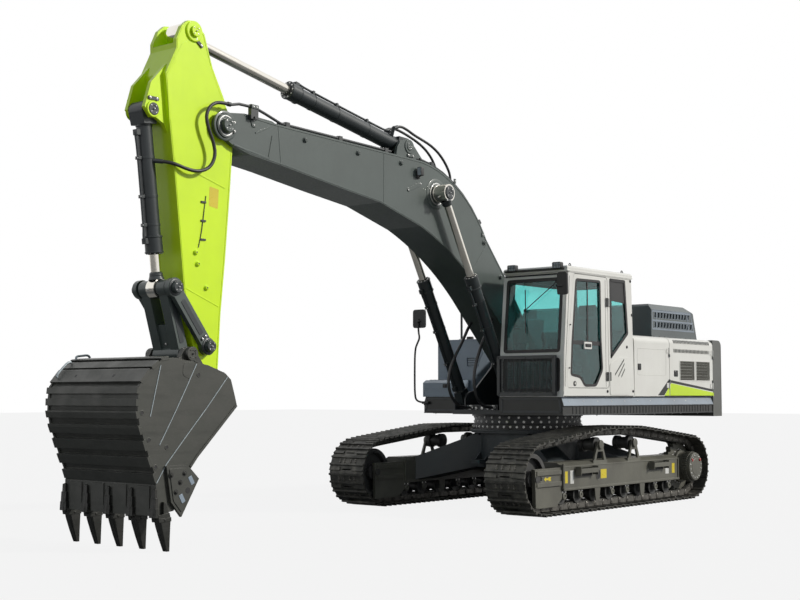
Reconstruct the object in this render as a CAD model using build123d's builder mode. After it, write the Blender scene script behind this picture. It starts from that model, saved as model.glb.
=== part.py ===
"""Crawler excavator of the 35 tonne class, as an assembly of separate sub-parts.

X points forward to the boom side, Y to the cab side, Z up, in millimetres.
The origin lies on the ground under the slew axis. The arm hangs down and the
bucket stands on its teeth.
"""

import math
import os

from build123d import *

os.makedirs("parts", exist_ok=True)

# Undercarriage
GAUGE = 2590.0
SHOE_WIDTH = 600.0
WHEELBASE = 4030.0
LINK_PITCH = 216.0
PITCHES_ROUND = 11
SHOE_SEAT = 44.0
SHOE_PLATE = 12.0
GROUSER_HEIGHT = 24.0
GROUSER_WIDTH = 24.0
RAIL_HEIGHT = 48.0
RAIL_INNER = 75.0
RAIL_OUTER = 115.0
CARRIER_X = 455.0
CARRIER_Z = 850.0
CARRIER_SEAT = 115.0
ROLLER_COUNT = 8
ROLLER_STEP = 400.0
ROLLER_FIRST_X = 1380.0
ROLLER_RADIUS = 90.0
BEAM_HALF = 185.0
BEAM_LOW = 290.0
BEAM_SHOULDER = 600.0
BEAM_TOP = 645.0
BEAM_FRONT = 1430.0
BEAM_REAR = -1710.0
FORK_PLATE = 40.0
CLEARANCE_HEIGHT = 500.0
TOW_LUG_X = 800.0
TOW_LUG_Y = 300.0
TOW_LUG_Z = 560.0
TOW_LUG_PLATE = 50.0
TOW_HOLE_RADIUS = 35.0
RING_SEAT = 1030.0
RING_RADIUS = 780.0
RING_BORE = 600.0
RING_SPLIT = 1100.0

# Upperstructure
DECK_LOW = 1247.0
DECK_TOP = 1485.0
DECK_INNER = 495.0
UPPER_HALF = 1497.0
UPPER_REAR = -2850.0
TAIL_RADIUS = 3480.0
CAB_FRONT = 1400.0
CAB_REAR = -428.0
CAB_INNER = 500.0
CAB_WALL = 60.0
CAB_EAVES = 3134.0
CAB_TOP = 3195.0
HOOD_TOP = 2350.0
HOOD_HINGE = (-1291.0, 2363.0)
HOOD_BARREL = 11.0
PANEL = 50.0
SHOULDER = 97.0
DOOR_GAP = 6.0
DOOR_GRILLES = ((-1785.0, -2240.0), (-2298.0, -2742.0))
DOOR_GRILLE_Z = (1727.0, 2011.0)

# Working equipment: pins in the XZ plane
BOOM_FOOT = (220.0, 1950.0)
BOOM_TIP = (6191.0, 4400.0)
BOOM_CYL_FOOT = (1000.0, 1450.0)
BOOM_CYL_EYE = (2480.0, 4095.0)
ARM_CYL_FOOT = (2883.0, 4672.0)
ARM_CYL_EYE = (6595.0, 5356.0)
BUCKET_CYL_FOOT = (7095.0, 4447.0)
ROCKER_EYE = (6870.0, 2613.0)
ROCKER_FOOT = (6405.0, 2018.0)
LINK_FOOT = (6665.0, 1933.0)
BUCKET_PIN = (6325.0, 1690.0)
BOOM_HALF = 275.0
BOOM_CROWN = ((2776.0, 4488.0), (1850.0, 4130.0), (1378.0, 3613.0))
ARM_HALF = 210.0
BUCKET_HALF = 710.0
BUCKET_WALL = 30.0
BOOM_CYL_Y = 398.0
PIN_GAP = 0.05
SEAT_GAP = 0.3
SIDE_GAP = 6.0

track_y = GAUGE / 2
pitch_radius = LINK_PITCH / (2 * math.sin(math.pi / PITCHES_ROUND))
axle_z = pitch_radius + SHOE_SEAT + SHOE_PLATE + GROUSER_HEIGHT
idler_x = WHEELBASE / 2
sprocket_x = -WHEELBASE / 2
chord_radius = pitch_radius * math.cos(math.pi / PITCHES_ROUND)
idler_radius = chord_radius - RAIL_HEIGHT - 0.3
roller_z = axle_z - pitch_radius + RAIL_HEIGHT + ROLLER_RADIUS + 0.3


def slab(points, y_low, y_high, mode=Mode.ADD, corner=0.0):
    """A plate with the given XZ outline, from y_low to y_high, its corners rounded."""
    with BuildSketch(Plane.XZ.offset(-y_high)) as outline:
        with BuildLine():
            Polyline(*points, close=True)
        make_face()
        if corner:
            fillet(outline.vertices(), corner)
    extrude(outline.sketch, amount=y_high - y_low, mode=mode)


def slice_x(points, x_low, x_high, mode=Mode.ADD, corner=0.0):
    """A plate with the given YZ outline, from x_low to x_high, its corners rounded."""
    with BuildSketch(Plane.YZ.offset(x_low)) as outline:
        with BuildLine():
            Polyline(*points, close=True)
        make_face()
        if corner:
            fillet(outline.vertices(), corner)
    extrude(outline.sketch, amount=x_high - x_low, mode=mode)


def block(x_range, y_range, z_range, mode=Mode.ADD):
    """A box between two corners."""
    size = (x_range[1] - x_range[0], y_range[1] - y_range[0], z_range[1] - z_range[0])
    with Locations((sum(x_range) / 2, sum(y_range) / 2, sum(z_range) / 2)):
        Box(*size, mode=mode)


def cross_bar(at, radius, y_low, y_high, mode=Mode.ADD):
    """A round bar along Y at an XZ point."""
    with Locations(Location((at[0], (y_low + y_high) / 2, at[1]), (90, 0, 0))):
        Cylinder(radius, y_high - y_low, mode=mode)


def bar(start, end, radius, mode=Mode.ADD):
    """A round bar between two points in space."""
    start, end = Vector(*start), Vector(*end)
    axis = end - start
    with BuildSketch(Plane(origin=start, z_dir=axis)) as section:
        Circle(radius)
    extrude(section.sketch, amount=axis.length, mode=mode)


def along(start, end, distance, aside=0.0):
    """The XZ point at a distance from start towards end, and aside to its left."""
    run = math.dist(start, end)
    ux, uz = (end[0] - start[0]) / run, (end[1] - start[1]) / run
    return (start[0] + ux * distance - uz * aside, start[1] + uz * distance + ux * aside)


def eye_bar(foot, head, y_low, y_high, foot_radius, head_radius, waist):
    """A link plate with a round eye at each end."""
    slab(
        [
            along(foot, head, 0, waist),
            along(head, foot, 0, -waist),
            along(head, foot, 0, waist),
            along(foot, head, 0, -waist),
        ],
        y_low,
        y_high,
    )
    cross_bar(foot, foot_radius, y_low, y_high)
    cross_bar(head, head_radius, y_low, y_high)


def write(piece, name):
    """Label a finished sub-part and export it."""
    piece.label = name
    export_step(piece, f"parts/{name}.step")


def belt_path():
    """The chain's pitch line as straight and round stretches, anticlockwise."""
    carrier_reach = CARRIER_SEAT + RAIL_HEIGHT
    wheels = [
        ((idler_x, axle_z), pitch_radius),
        ((CARRIER_X, CARRIER_Z), carrier_reach),
        ((-CARRIER_X, CARRIER_Z), carrier_reach),
        ((sprocket_x, axle_z), pitch_radius),
    ]
    normals = []
    for (c1, r1), (c2, r2) in zip(wheels, wheels[1:] + wheels[:1]):
        run = math.dist(c1, c2)
        heading = math.atan2(c2[1] - c1[1], c2[0] - c1[0])
        normals.append(heading - math.acos((r1 - r2) / run))
    stretches = []
    for index, (centre, radius) in enumerate(wheels):
        enter, leave = normals[index - 1], normals[index]
        while leave < enter:
            leave += 2 * math.pi
        stretches.append(("arc", centre, radius, enter, leave))
        following, reach = wheels[(index + 1) % len(wheels)]
        n = (math.cos(leave), math.sin(leave))
        first = (centre[0] + radius * n[0], centre[1] + radius * n[1])
        last = (following[0] + reach * n[0], following[1] + reach * n[1])
        stretches.append(("line", first, last))
    return stretches


def stretch_length(stretch):
    if stretch[0] == "line":
        return math.dist(stretch[1], stretch[2])
    return stretch[2] * (stretch[4] - stretch[3])


def belt_point(stretches, distance):
    """The point of the pitch line at a distance along it."""
    for stretch in stretches:
        length = stretch_length(stretch)
        if distance <= length:
            break
        distance -= length
    share = min(distance / length, 1.0)
    if stretch[0] == "line":
        (x1, z1), (x2, z2) = stretch[1:]
        return (x1 + share * (x2 - x1), z1 + share * (z2 - z1))
    kind, (cx, cz), radius, enter, leave = stretch
    angle = enter + share * (leave - enter)
    return (cx + radius * math.cos(angle), cz + radius * math.sin(angle))


def track_pins():
    """Chain pin points at equal steps round the pitch line."""
    stretches = belt_path()
    total = sum(stretch_length(s) for s in stretches)
    count = round(total / LINK_PITCH)
    return [belt_point(stretches, i * total / count) for i in range(count)]


def corner(before, at, after, offset):
    """Where two neighbouring links' lines meet when both move outward by offset."""
    a1 = math.atan2(at[1] - before[1], at[0] - before[0]) - math.pi / 2
    a2 = math.atan2(after[1] - at[1], after[0] - at[0]) - math.pi / 2
    middle = (a1 + math.remainder(a2 - a1, 2 * math.pi) / 2)
    reach = offset / math.cos(math.remainder(a2 - a1, 2 * math.pi) / 2)
    return (at[0] + reach * math.cos(middle), at[1] + reach * math.sin(middle))


def ring_points(pins, offset):
    """The chain's outline at an offset from the pitch line."""
    count = len(pins)
    return [
        corner(pins[i - 1], pins[i], pins[(i + 1) % count], offset) for i in range(count)
    ]


def shoe_outline(pins):
    """The outer outline of all shoes, each with two grousers."""
    points = []
    plate_out = SHOE_SEAT + SHOE_PLATE
    for first, second in zip(pins, pins[1:] + pins[:1]):
        for share in (0.25, 0.75):
            for step, rise in ((-0.7, 0.0), (-0.5, 1.0), (0.5, 1.0), (0.7, 0.0)):
                distance = share * math.dist(first, second) + step * GROUSER_WIDTH
                lift = plate_out + rise * GROUSER_HEIGHT
                points.append(along(first, second, distance, -lift))
    return points


def make_tracks():
    pins = track_pins()
    with BuildPart() as tracks:
        for side in (-1, 1):
            y = side * track_y
            with BuildSketch(Plane.XZ.offset(-y - SHOE_WIDTH / 2)) as shoes:
                with BuildLine():
                    Polyline(*shoe_outline(pins), close=True)
                make_face()
                with BuildLine():
                    Polyline(*ring_points(pins, SHOE_SEAT), close=True)
                make_face(mode=Mode.SUBTRACT)
            extrude(shoes.sketch, amount=SHOE_WIDTH)
            for face in (-1, 1):
                high = max(y + face * RAIL_INNER, y + face * RAIL_OUTER)
                with BuildSketch(Plane.XZ.offset(-high)) as rail:
                    with BuildLine():
                        Polyline(*ring_points(pins, SHOE_SEAT), close=True)
                    make_face()
                    with BuildLine():
                        Polyline(*ring_points(pins, -RAIL_HEIGHT), close=True)
                    make_face(mode=Mode.SUBTRACT)
                extrude(rail.sketch, amount=RAIL_OUTER - RAIL_INNER)
    write(tracks.part, "tracks")


def make_track_frames():
    fork_in = BEAM_HALF - FORK_PLATE
    with BuildPart() as frames:
        for side in (-1, 1):
            y = side * track_y
            slice_x(
                [
                    (y - BEAM_HALF, BEAM_LOW),
                    (y + BEAM_HALF, BEAM_LOW),
                    (y + BEAM_HALF, BEAM_SHOULDER),
                    (y + 105, BEAM_TOP),
                    (y - 105, BEAM_TOP),
                    (y - BEAM_HALF, BEAM_SHOULDER),
                ],
                BEAM_REAR,
                BEAM_FRONT,
            )
            block((BEAM_REAR, BEAM_FRONT), (y - 200, y + 200), (BEAM_LOW, BEAM_LOW + 30))
            # Room for the rollers below and for the sprocket behind
            block(
                (BEAM_REAR - 5, BEAM_FRONT + 5),
                (y - 142, y + 142),
                (BEAM_LOW - 5, roller_z + ROLLER_RADIUS + 30),
                mode=Mode.SUBTRACT,
            )
            block((BEAM_REAR - 5, sprocket_x + pitch_radius + 30), (y - 60, y + 60), (200, 700),
                  mode=Mode.SUBTRACT)
            for face in (-1, 1):
                low, high = sorted((y + face * fork_in, y + face * BEAM_HALF))
                slab(
                    [
                        (BEAM_FRONT, 590),
                        (BEAM_FRONT, 200),
                        (1563, 100),
                        (2052, 100),
                        (2069, 588),
                    ],
                    low,
                    high,
                )
                slab(
                    [(BEAM_FRONT - 20, 320), (BEAM_FRONT - 20, 620), (BEAM_FRONT + 12, 620),
                     (BEAM_FRONT + 12, 320)],
                    *sorted((y + face * fork_in, y + face * (BEAM_HALF + 30))),
                )
                for rib_z in (390, 532):
                    block(
                        (1470, 2030),
                        tuple(sorted((y + face * BEAM_HALF, y + face * (BEAM_HALF + 22)))),
                        (rib_z - 26, rib_z + 26),
                    )
            # The final drive hangs on the inner side plate.
            inner = sorted((y - side * fork_in, y - side * BEAM_HALF))
            slab(
                [
                    (BEAM_REAR, BEAM_LOW),
                    (sprocket_x - 150, 250),
                    (sprocket_x - 210, axle_z),
                    (sprocket_x - 150, 680),
                    (BEAM_REAR, BEAM_TOP - 20),
                ],
                *inner,
            )
            # Steps on the outer side
            outer_y = y + side * BEAM_HALF
            for x_low, x_high in ((690, 1100), (-1260, -850)):
                block(
                    (x_low, x_high),
                    tuple(sorted((outer_y, outer_y + side * 95))),
                    (500, 560),
                )
            # Brackets of the carrier rollers
            bracket = sorted((y + side * 140, y + side * 170))
            for x in (CARRIER_X, -CARRIER_X):
                slab(
                    [
                        (x - 175, BEAM_TOP - 40),
                        (x - 95, 785),
                        (x - 60, CARRIER_Z + 45),
                        (x + 60, CARRIER_Z + 45),
                        (x + 95, 785),
                        (x + 175, BEAM_TOP - 40),
                        (x + 115, BEAM_TOP - 40),
                        (x + 65, 760),
                        (x - 65, 760),
                        (x - 115, BEAM_TOP - 40),
                    ],
                    *bracket,
                )
                # Each bracket's foot pad reaches the beam's flat top.
                block(
                    (x - 175, x + 175),
                    tuple(sorted((y + side * 90, y + side * 170))),
                    (BEAM_SHOULDER, BEAM_TOP),
                )
        # Roller guards below the beam
        for side in (-1, 1):
            y = side * track_y
            for x in (ROLLER_FIRST_X - 2 * ROLLER_STEP, ROLLER_FIRST_X - 5 * ROLLER_STEP):
                for face in (-1, 1):
                    low, high = sorted((y + face * 184, y + face * 200))
                    slab(
                        [(x - 70, BEAM_LOW), (x + 70, BEAM_LOW), (x + 45, 120), (x - 45, 120)],
                        low,
                        high,
                    )
        for side in (-1, 1):
            y = side * track_y
            cross_bar((idler_x, axle_z), 45 + PIN_GAP, y - 250, y + 250, mode=Mode.SUBTRACT)
            cross_bar((sprocket_x, axle_z), 180 + PIN_GAP, y - 250, y + 250, mode=Mode.SUBTRACT)
            for x in (CARRIER_X, -CARRIER_X):
                cross_bar((x, CARRIER_Z), 30 + PIN_GAP, y - 250, y + 250, mode=Mode.SUBTRACT)
            block((520, 560), (y - 250, y + 250), (440, 485), mode=Mode.SUBTRACT)
    write(frames.part, "track_frames")


def make_idlers():
    with BuildPart() as idlers:
        for side in (-1, 1):
            y = side * track_y
            at = (idler_x, axle_z)
            cross_bar(at, idler_radius, y - RAIL_OUTER - 5, y + RAIL_OUTER + 5)
            for face in (-1, 1):
                low, high = sorted((y + face * 55, y + face * (RAIL_OUTER + 10)))
                cross_bar(at, idler_radius - 55, low, high, mode=Mode.SUBTRACT)
                cross_bar(at, 105, *sorted((y + face * 50, y + face * 128)))
            cross_bar(at, 45, y - BEAM_HALF - 20, y + BEAM_HALF + 20)
    write(idlers.part, "idlers")


def gear_outline(centre, teeth, root, tip):
    points = []
    for tooth in range(teeth):
        middle = 2 * math.pi * tooth / teeth
        for share, radius in ((-0.36, root), (-0.14, tip), (0.14, tip), (0.36, root)):
            angle = middle + share * 2 * math.pi / teeth
            points.append(
                (centre[0] + radius * math.cos(angle), centre[1] + radius * math.sin(angle))
            )
    return points


def make_final_drives():
    with BuildPart() as drives:
        for side in (-1, 1):
            y = side * track_y
            at = (sprocket_x, axle_z)
            slab(
                gear_outline(at, 2 * PITCHES_ROUND, pitch_radius - 52, pitch_radius - 8),
                y - 38,
                y + 38,
            )
            cross_bar(at, 235, *sorted((y + side * 38, y + side * 90)))
            cross_bar(at, 205, *sorted((y + side * 90, y + side * 300)))
            slab(
                gear_outline(at, 40, 205, 222),
                *sorted((y + side * 190, y + side * 262)),
            )
            cross_bar(at, 180, *sorted((y - side * 38, y - side * 260)))
    write(drives.part, "final_drives")


def make_rollers():
    with BuildPart() as rollers:
        for side in (-1, 1):
            y = side * track_y
            for index in range(ROLLER_COUNT):
                at = (ROLLER_FIRST_X - index * ROLLER_STEP, roller_z)
                cross_bar(at, ROLLER_RADIUS - 18, y - 60, y + 60)
                for face in (-1, 1):
                    cross_bar(at, ROLLER_RADIUS, *sorted((y + face * 58, y + face * 125)))
                    cross_bar(at, ROLLER_RADIUS + 18, *sorted((y + face * 123, y + face * 138)))
                    cross_bar(at, 38, *sorted((y + face * 138, y + face * 180)))
                    block(
                        (at[0] - 50, at[0] + 50),
                        tuple(sorted((y + face * 146, y + face * 180))),
                        (at[1] - 45, BEAM_LOW),
                    )
        bend = math.atan2(CARRIER_Z - axle_z, idler_x - CARRIER_X)
        radius = CARRIER_SEAT - LINK_PITCH / 2 * math.tan(bend / 2) - 3
        for side in (-1, 1):
            y = side * track_y
            for x in (CARRIER_X, -CARRIER_X):
                at = (x, CARRIER_Z)
                cross_bar(at, radius - 18, y - 60, y + 60)
                for face in (-1, 1):
                    cross_bar(at, radius, *sorted((y + face * 58, y + face * 122)))
                cross_bar(at, 30, *sorted((y, y + side * 195)))
    write(rollers.part, "track_rollers")


def make_car_body():
    with BuildPart() as body:
        with Locations((0, 0, (RING_SEAT + CLEARANCE_HEIGHT + 60) / 2)):
            Cylinder(720, RING_SEAT - CLEARANCE_HEIGHT - 60)
        with Locations((0, 0, RING_SEAT - 25)):
            Cylinder(RING_RADIUS + 20, 50)
        block((-620, 620), (-560, 560), (CLEARANCE_HEIGHT, 950))
        for sx in (-1, 1):
            for sy in (-1, 1):
                with BuildSketch(Plane.XZ.offset(-sy * 420)) as root:
                    with Locations((sx * 420, 745)):
                        Rectangle(380, 470)
                with BuildSketch(Plane.XZ.offset(-sy * (track_y - BEAM_HALF))) as end:
                    with Locations((sx * 900, 485)):
                        Rectangle(560, 320)
                loft([root.sketch.face(), end.sketch.face()])
        with Locations((0, 0, RING_SEAT)):
            Cylinder(RING_BORE - 60, 400, mode=Mode.SUBTRACT)
        # Towing lugs, each with a hole for a shackle pin
        for end in (-1, 1):
            for side in (-1, 1):
                inner, outer = 600.0, TOW_LUG_X + 70
                x_range = tuple(sorted((end * inner, end * outer)))
                y_mid = side * TOW_LUG_Y
                block(x_range, (y_mid - 80, y_mid + 80), (TOW_LUG_Z, TOW_LUG_Z + TOW_LUG_PLATE))
                with Locations((end * TOW_LUG_X, y_mid, TOW_LUG_Z + TOW_LUG_PLATE / 2)):
                    Cylinder(TOW_HOLE_RADIUS, 2 * TOW_LUG_PLATE, mode=Mode.SUBTRACT)
    write(body.part, "car_body")


def make_slew_ring():
    with BuildPart() as outer:
        with Locations((0, 0, (RING_SEAT + RING_SPLIT) / 2)):
            Cylinder(RING_RADIUS, RING_SPLIT - RING_SEAT)
            Cylinder(RING_BORE, RING_SPLIT - RING_SEAT, mode=Mode.SUBTRACT)
    write(outer.part, "slew_ring_outer")


def make_revolving_frame():
    with BuildPart() as frame:
        # The turning ring, welded under the centre section
        with Locations((0, 0, (RING_SPLIT + 0.5 + DECK_LOW) / 2)):
            Cylinder(RING_RADIUS - 25, DECK_LOW - RING_SPLIT - 0.5)
            Cylinder(RING_BORE, DECK_LOW - RING_SPLIT - 0.5, mode=Mode.SUBTRACT)
        block((UPPER_REAR, 1120), (-DECK_INNER, DECK_INNER), (DECK_LOW, DECK_LOW + 60))
        for side in (-1, 1):
            low, high = sorted((side * (BOOM_HALF + SIDE_GAP), side * (BOOM_HALF + 32)))
            slab(
                [
                    (UPPER_REAR, DECK_LOW + 50),
                    (1100, DECK_LOW + 50),
                    (1105, 1450),
                    (1070, 1525),
                    (1000, 1555),
                    (900, 1570),
                    (480, 1900),
                    (400, 2060),
                    (300, 2130),
                    (140, 2130),
                    (20, 2000),
                    (-900, DECK_TOP),
                    (UPPER_REAR, DECK_TOP),
                ],
                low,
                high,
            )
            outer = sorted((side * (BOOM_CYL_Y + 66), side * (BOOM_CYL_Y + 90)))
            slab(
                [(880, DECK_LOW + 50), (1100, DECK_LOW + 50), (1105, 1450), (1070, 1525),
                 (1000, 1555), (930, 1525), (880, 1450)],
                *outer,
            )
            pin = sorted((side * (BOOM_HALF + 20), side * (BOOM_CYL_Y + 96)))
            cross_bar(BOOM_CYL_FOOT, 50, *pin)
        # Swivel manifold at the front of the centre section
        block((1000, 1105), (-260, 260), (DECK_LOW + 55, 1375))
        cross_bar(BOOM_FOOT, 55, -BOOM_HALF - 60, BOOM_HALF + 60)
        for side in (-1, 1):
            bar((1100, side * 190, 1340), (1129.95, side * 190, 1340), 28)
            cap = sorted((side * (BOOM_HALF + 32), side * (BOOM_HALF + 60)))
            cross_bar(BOOM_FOOT, 85, *cap)
    write(frame.part, "revolving_frame")


def make_side_decks():
    """The decks on both sides of the centre section, with their folded outer skirts."""
    with BuildPart() as decks:
        for side, front in ((1, CAB_FRONT), (-1, 500)):
            slice_x(
                [
                    (side * DECK_INNER, DECK_LOW),
                    (side * (UPPER_HALF - 12), DECK_LOW),
                    (side * (UPPER_HALF - 12), 1362),
                    (side * UPPER_HALF, 1372),
                    (side * (UPPER_HALF - 40), DECK_TOP),
                    (side * DECK_INNER, DECK_TOP),
                ],
                UPPER_REAR,
                front,
            )
    write(decks.part, "side_decks")


def make_counterweight():
    z_low, z_high = 1190.0, HOOD_TOP
    side_end = -math.sqrt(TAIL_RADIUS**2 - UPPER_HALF**2)
    front = UPPER_REAR
    with BuildPart() as weight:
        with BuildSketch(Plane.XY.offset(z_low)) as plan:
            with BuildLine():
                Polyline(
                    (side_end, UPPER_HALF),
                    (front, UPPER_HALF),
                    (front, -UPPER_HALF),
                    (side_end, -UPPER_HALF),
                )
                ThreePointArc((side_end, -UPPER_HALF), (-TAIL_RADIUS, 0), (side_end, UPPER_HALF))
            make_face()
        extrude(plan.sketch, amount=z_high - z_low)
        top = weight.faces().sort_by(Axis.Z)[-1]
        fillet(top.edges().filter_by(GeomType.CIRCLE), 90)
        with Locations((-3130, 700, z_high - 60), (-3130, -700, z_high - 60)):
            Cylinder(20, 120, mode=Mode.SUBTRACT)
        # Hinge leaves of the two rear side doors
        for side in (-1, 1):
            for z in (1696, 2060):
                low, high = sorted((side * (UPPER_HALF - 2), side * (UPPER_HALF + 14)))
                block((front - 60, front), (low, high), (z, z + 40))
                low, high = sorted((side * (UPPER_HALF + 3), side * (UPPER_HALF + 14)))
                block((front - 60, front + 15), (low, high), (z, z + 40))
                with Locations((front + 15, side * (UPPER_HALF + 9), z + 20)):
                    Cylinder(9, 40)
    write(weight.part, "counterweight")


def make_engine():
    with BuildPart() as engine:
        block((-2500, -1500), (-500, 600), (DECK_TOP, 2200))
    write(engine.part, "engine")


def make_engine_cover():
    """The fixed deck over the engine bay, with its bulkheads and door posts."""
    front = CAB_REAR - 20
    half = UPPER_HALF - SHOULDER - 3
    with BuildPart() as cover:
        block((UPPER_REAR, front), (-half, half), (HOOD_TOP - PANEL, HOOD_TOP))
        block((-2690, -1340), (-900, 1260), (HOOD_TOP - 60, HOOD_TOP + 10), mode=Mode.SUBTRACT)
        block((front - 40, front), (-half, half), (DECK_TOP, HOOD_TOP))
        block((UPPER_REAR, UPPER_REAR + 40), (-half, half), (DECK_TOP, HOOD_TOP))
        block((-1470, front - 30), (-half - 10, -520), (DECK_TOP - 5, HOOD_TOP + 5),
              mode=Mode.SUBTRACT)
        block((front - 45, front + 5), (-330, 330), (DECK_TOP - 5, 1800), mode=Mode.SUBTRACT)
        for side in (-1, 1):
            low, high = sorted((side * (UPPER_HALF - 160), side * (UPPER_HALF - PANEL - 8)))
            block((-1480, -1440), (low, high), (DECK_TOP, HOOD_TOP - 120))
            low, high = sorted((side * (UPPER_HALF - 160), side * (UPPER_HALF - 100)))
            block((-1480, -1440), (low, high), (HOOD_TOP - 125, HOOD_TOP - PANEL))
        # Hinge leaves of the front door, through the gap between the doors
        for z in (1696, 2060):
            block((-1463, -1457.5), (UPPER_HALF - 90, UPPER_HALF + 14), (z, z + 40))
            block((-1463, -1444), (UPPER_HALF + 3, UPPER_HALF + 14), (z, z + 40))
            with Locations((-1444, UPPER_HALF + 9, z + 20)):
                Cylinder(9, 40)
    write(cover.part, "engine_cover")


def side_panel(x_low, x_high, side):
    """A door leaf with a rounded shoulder at its top."""
    round_in, round_low = UPPER_HALF - SHOULDER, HOOD_TOP - SHOULDER
    with BuildSketch(Plane.YZ.offset(x_low)) as leaf:
        with BuildLine():
            outer = RadiusArc(
                (side * UPPER_HALF, round_low), (side * round_in, HOOD_TOP), side * -SHOULDER
            )
            Polyline(
                (side * round_in, HOOD_TOP),
                (side * round_in, HOOD_TOP - PANEL),
            )
            RadiusArc(
                (side * round_in, HOOD_TOP - PANEL),
                (side * (UPPER_HALF - PANEL), round_low),
                side * (SHOULDER - PANEL),
            )
            Polyline(
                (side * (UPPER_HALF - PANEL), round_low),
                (side * (UPPER_HALF - PANEL), DECK_TOP + DOOR_GAP),
                (side * UPPER_HALF, DECK_TOP + DOOR_GAP),
                (side * UPPER_HALF, round_low),
            )
        make_face()
    extrude(leaf.sketch, amount=x_high - x_low)


def make_side_doors():
    rows = (
        # name, x_low, x_high, side, louvre
        ("side_door_front", -1456, CAB_REAR - 8, 1, False),
        ("side_door_rear", UPPER_REAR + 3, -1468, 1, True),
        ("side_door_right", UPPER_REAR + 3, -1468, -1, True),
    )
    for name, x_low, x_high, side, louvre in rows:
        with BuildPart() as door:
            side_panel(x_low, x_high, side)
            y_low, y_high = sorted((side * (UPPER_HALF - PANEL - 2), side * (UPPER_HALF + 2)))
            if louvre:
                for near, far in DOOR_GRILLES:
                    block((far, near), (y_low, y_high), DOOR_GRILLE_Z, mode=Mode.SUBTRACT)
                    for step in range(6):
                        slat = DOOR_GRILLE_Z[0] + 26 + 44 * step
                        block((far - 5, near + 5), (y_low + 18, y_high - 18), (slat, slat + 10))
            # Hinge barrels at the rear edge
            for z in (1650, 2146):
                with Locations((x_low + 12, side * (UPPER_HALF + 9), z)):
                    Cylinder(9, 90)
        write(door.part, name)


def make_hydraulic_tank():
    with BuildPart() as tank:
        block((-1436, CAB_REAR - 52), (-UPPER_HALF, -530), (DECK_TOP, HOOD_TOP - 20))
        edges = tank.edges().filter_by(Axis.X).group_by(Axis.Z)[-1]
        fillet(edges, 60)
        with Locations((-900, -1000, HOOD_TOP - 10)):
            Cylinder(70, 60)
    write(tank.part, "hydraulic_tank")


def make_hood_lid():
    y_low, y_high = -950.0, 1300.0
    with BuildPart() as lid:
        slab(
            [(-1300, HOOD_TOP + SEAT_GAP), (-1300, 2810), (-1330, 2840), (-2410, 2840), (-2610, 2745),
             (-2730, HOOD_TOP + SEAT_GAP)],
            y_low,
            y_high,
        )
        for edge, inward in ((y_low, 1), (y_high, -1)):
            slice_x(
                [(edge - inward, 2760), (edge - inward, 2845), (edge + inward * 70, 2845)],
                -2760,
                -1290,
                mode=Mode.SUBTRACT,
            )
        slab(
            [(-1330, HOOD_TOP - 5), (-1330, 2800), (-2400, 2800), (-2580, 2715),
             (-2695, HOOD_TOP - 5)],
            y_low + 95,
            y_high - 95,
            mode=Mode.SUBTRACT,
        )
        slots = (
            # x_centre, z_low, z_high
            *((-1420 - 92 * step, 2640, 2720) for step in range(12)),
            *((-1420 - 92 * step, 2500, 2580) for step in range(13)),
        )
        for x, z_low, z_high in slots:
            slab(
                [(x - 26, z_low), (x + 26, z_low), (x + 8, z_high), (x - 44, z_high)],
                y_low - 5,
                y_high + 5,
                mode=Mode.SUBTRACT,
            )
        # Hinge barrels along the front edge
        for y in (-500, 850):
            cross_bar(HOOD_HINGE, HOOD_BARREL, y - 60, y + 60)
    write(lid.part, "engine_hood")


# Cab outline in the XZ plane, from the rear floor corner round to the rear roof corner
CAB_OUTLINE = (
    (CAB_REAR, DECK_TOP),
    (CAB_FRONT, DECK_TOP),
    (1384.0, 2058.0),
    (1285.0, 3050.0),
    (1240.0, CAB_EAVES),
    (-371.0, CAB_EAVES),
)
DOOR_OUTLINE = ((250.0, 1600.0), (1320.0, 1600.0), (1300.0, 2050.0), (1130.0, 3100.0), (275.0, 3100.0))
DOOR_WINDOW = (
    (415.0, 1846.0), (586.0, 1631.0), (877.0, 1625.0), (985.0, 1739.0), (1219.0, 1769.0),
    (1187.0, 2184.0), (1078.0, 3030.0), (462.0, 3040.0), (452.0, 2274.0),
)
WINDSCREENS = ((2070.0, 3035.0), (1560.0, 1985.0))
WINDOW_CORNER = 45.0
RIGHT_WINDOW = ((-250.0, 2080.0), (1180.0, 2080.0), (1090.0, 3040.0), (-250.0, 3040.0))
QUARTER_OUTLINE = ((200.0, 2010.0), (212.0, 3085.0), (-190.0, 3085.0), (-262.0, 2353.0))


def front_face(z):
    """X of the cab's front face at a height."""
    for (x1, z1), (x2, z2) in zip(CAB_OUTLINE[1:], CAB_OUTLINE[2:]):
        if z1 <= z <= z2:
            return x1 + (x2 - x1) * (z - z1) / (z2 - z1)
    return CAB_FRONT


def rear_face(z):
    """X of the cab's rear face at a height."""
    (x1, z1), (x2, z2) = CAB_OUTLINE[0], CAB_OUTLINE[-1]
    return x1 + (x2 - x1) * (z - z1) / (z2 - z1)


def inset(points, distance):
    """Corners of a convex outline moved inward by distance, in the same order."""
    count = len(points)
    area = sum(
        points[i][0] * points[(i + 1) % count][1] - points[(i + 1) % count][0] * points[i][1]
        for i in range(count)
    )
    turn = 1 if area > 0 else -1
    moved = []
    for i in range(count):
        (x0, z0), (x1, z1), (x2, z2) = points[i - 1], points[i], points[(i + 1) % count]
        a = math.atan2(z1 - z0, x1 - x0) + turn * math.pi / 2
        b = math.atan2(z2 - z1, x2 - x1) + turn * math.pi / 2
        half = math.remainder(b - a, 2 * math.pi) / 2
        reach = distance / math.cos(half)
        moved.append((x1 + reach * math.cos(a + half), z1 + reach * math.sin(a + half)))
    return moved


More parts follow.
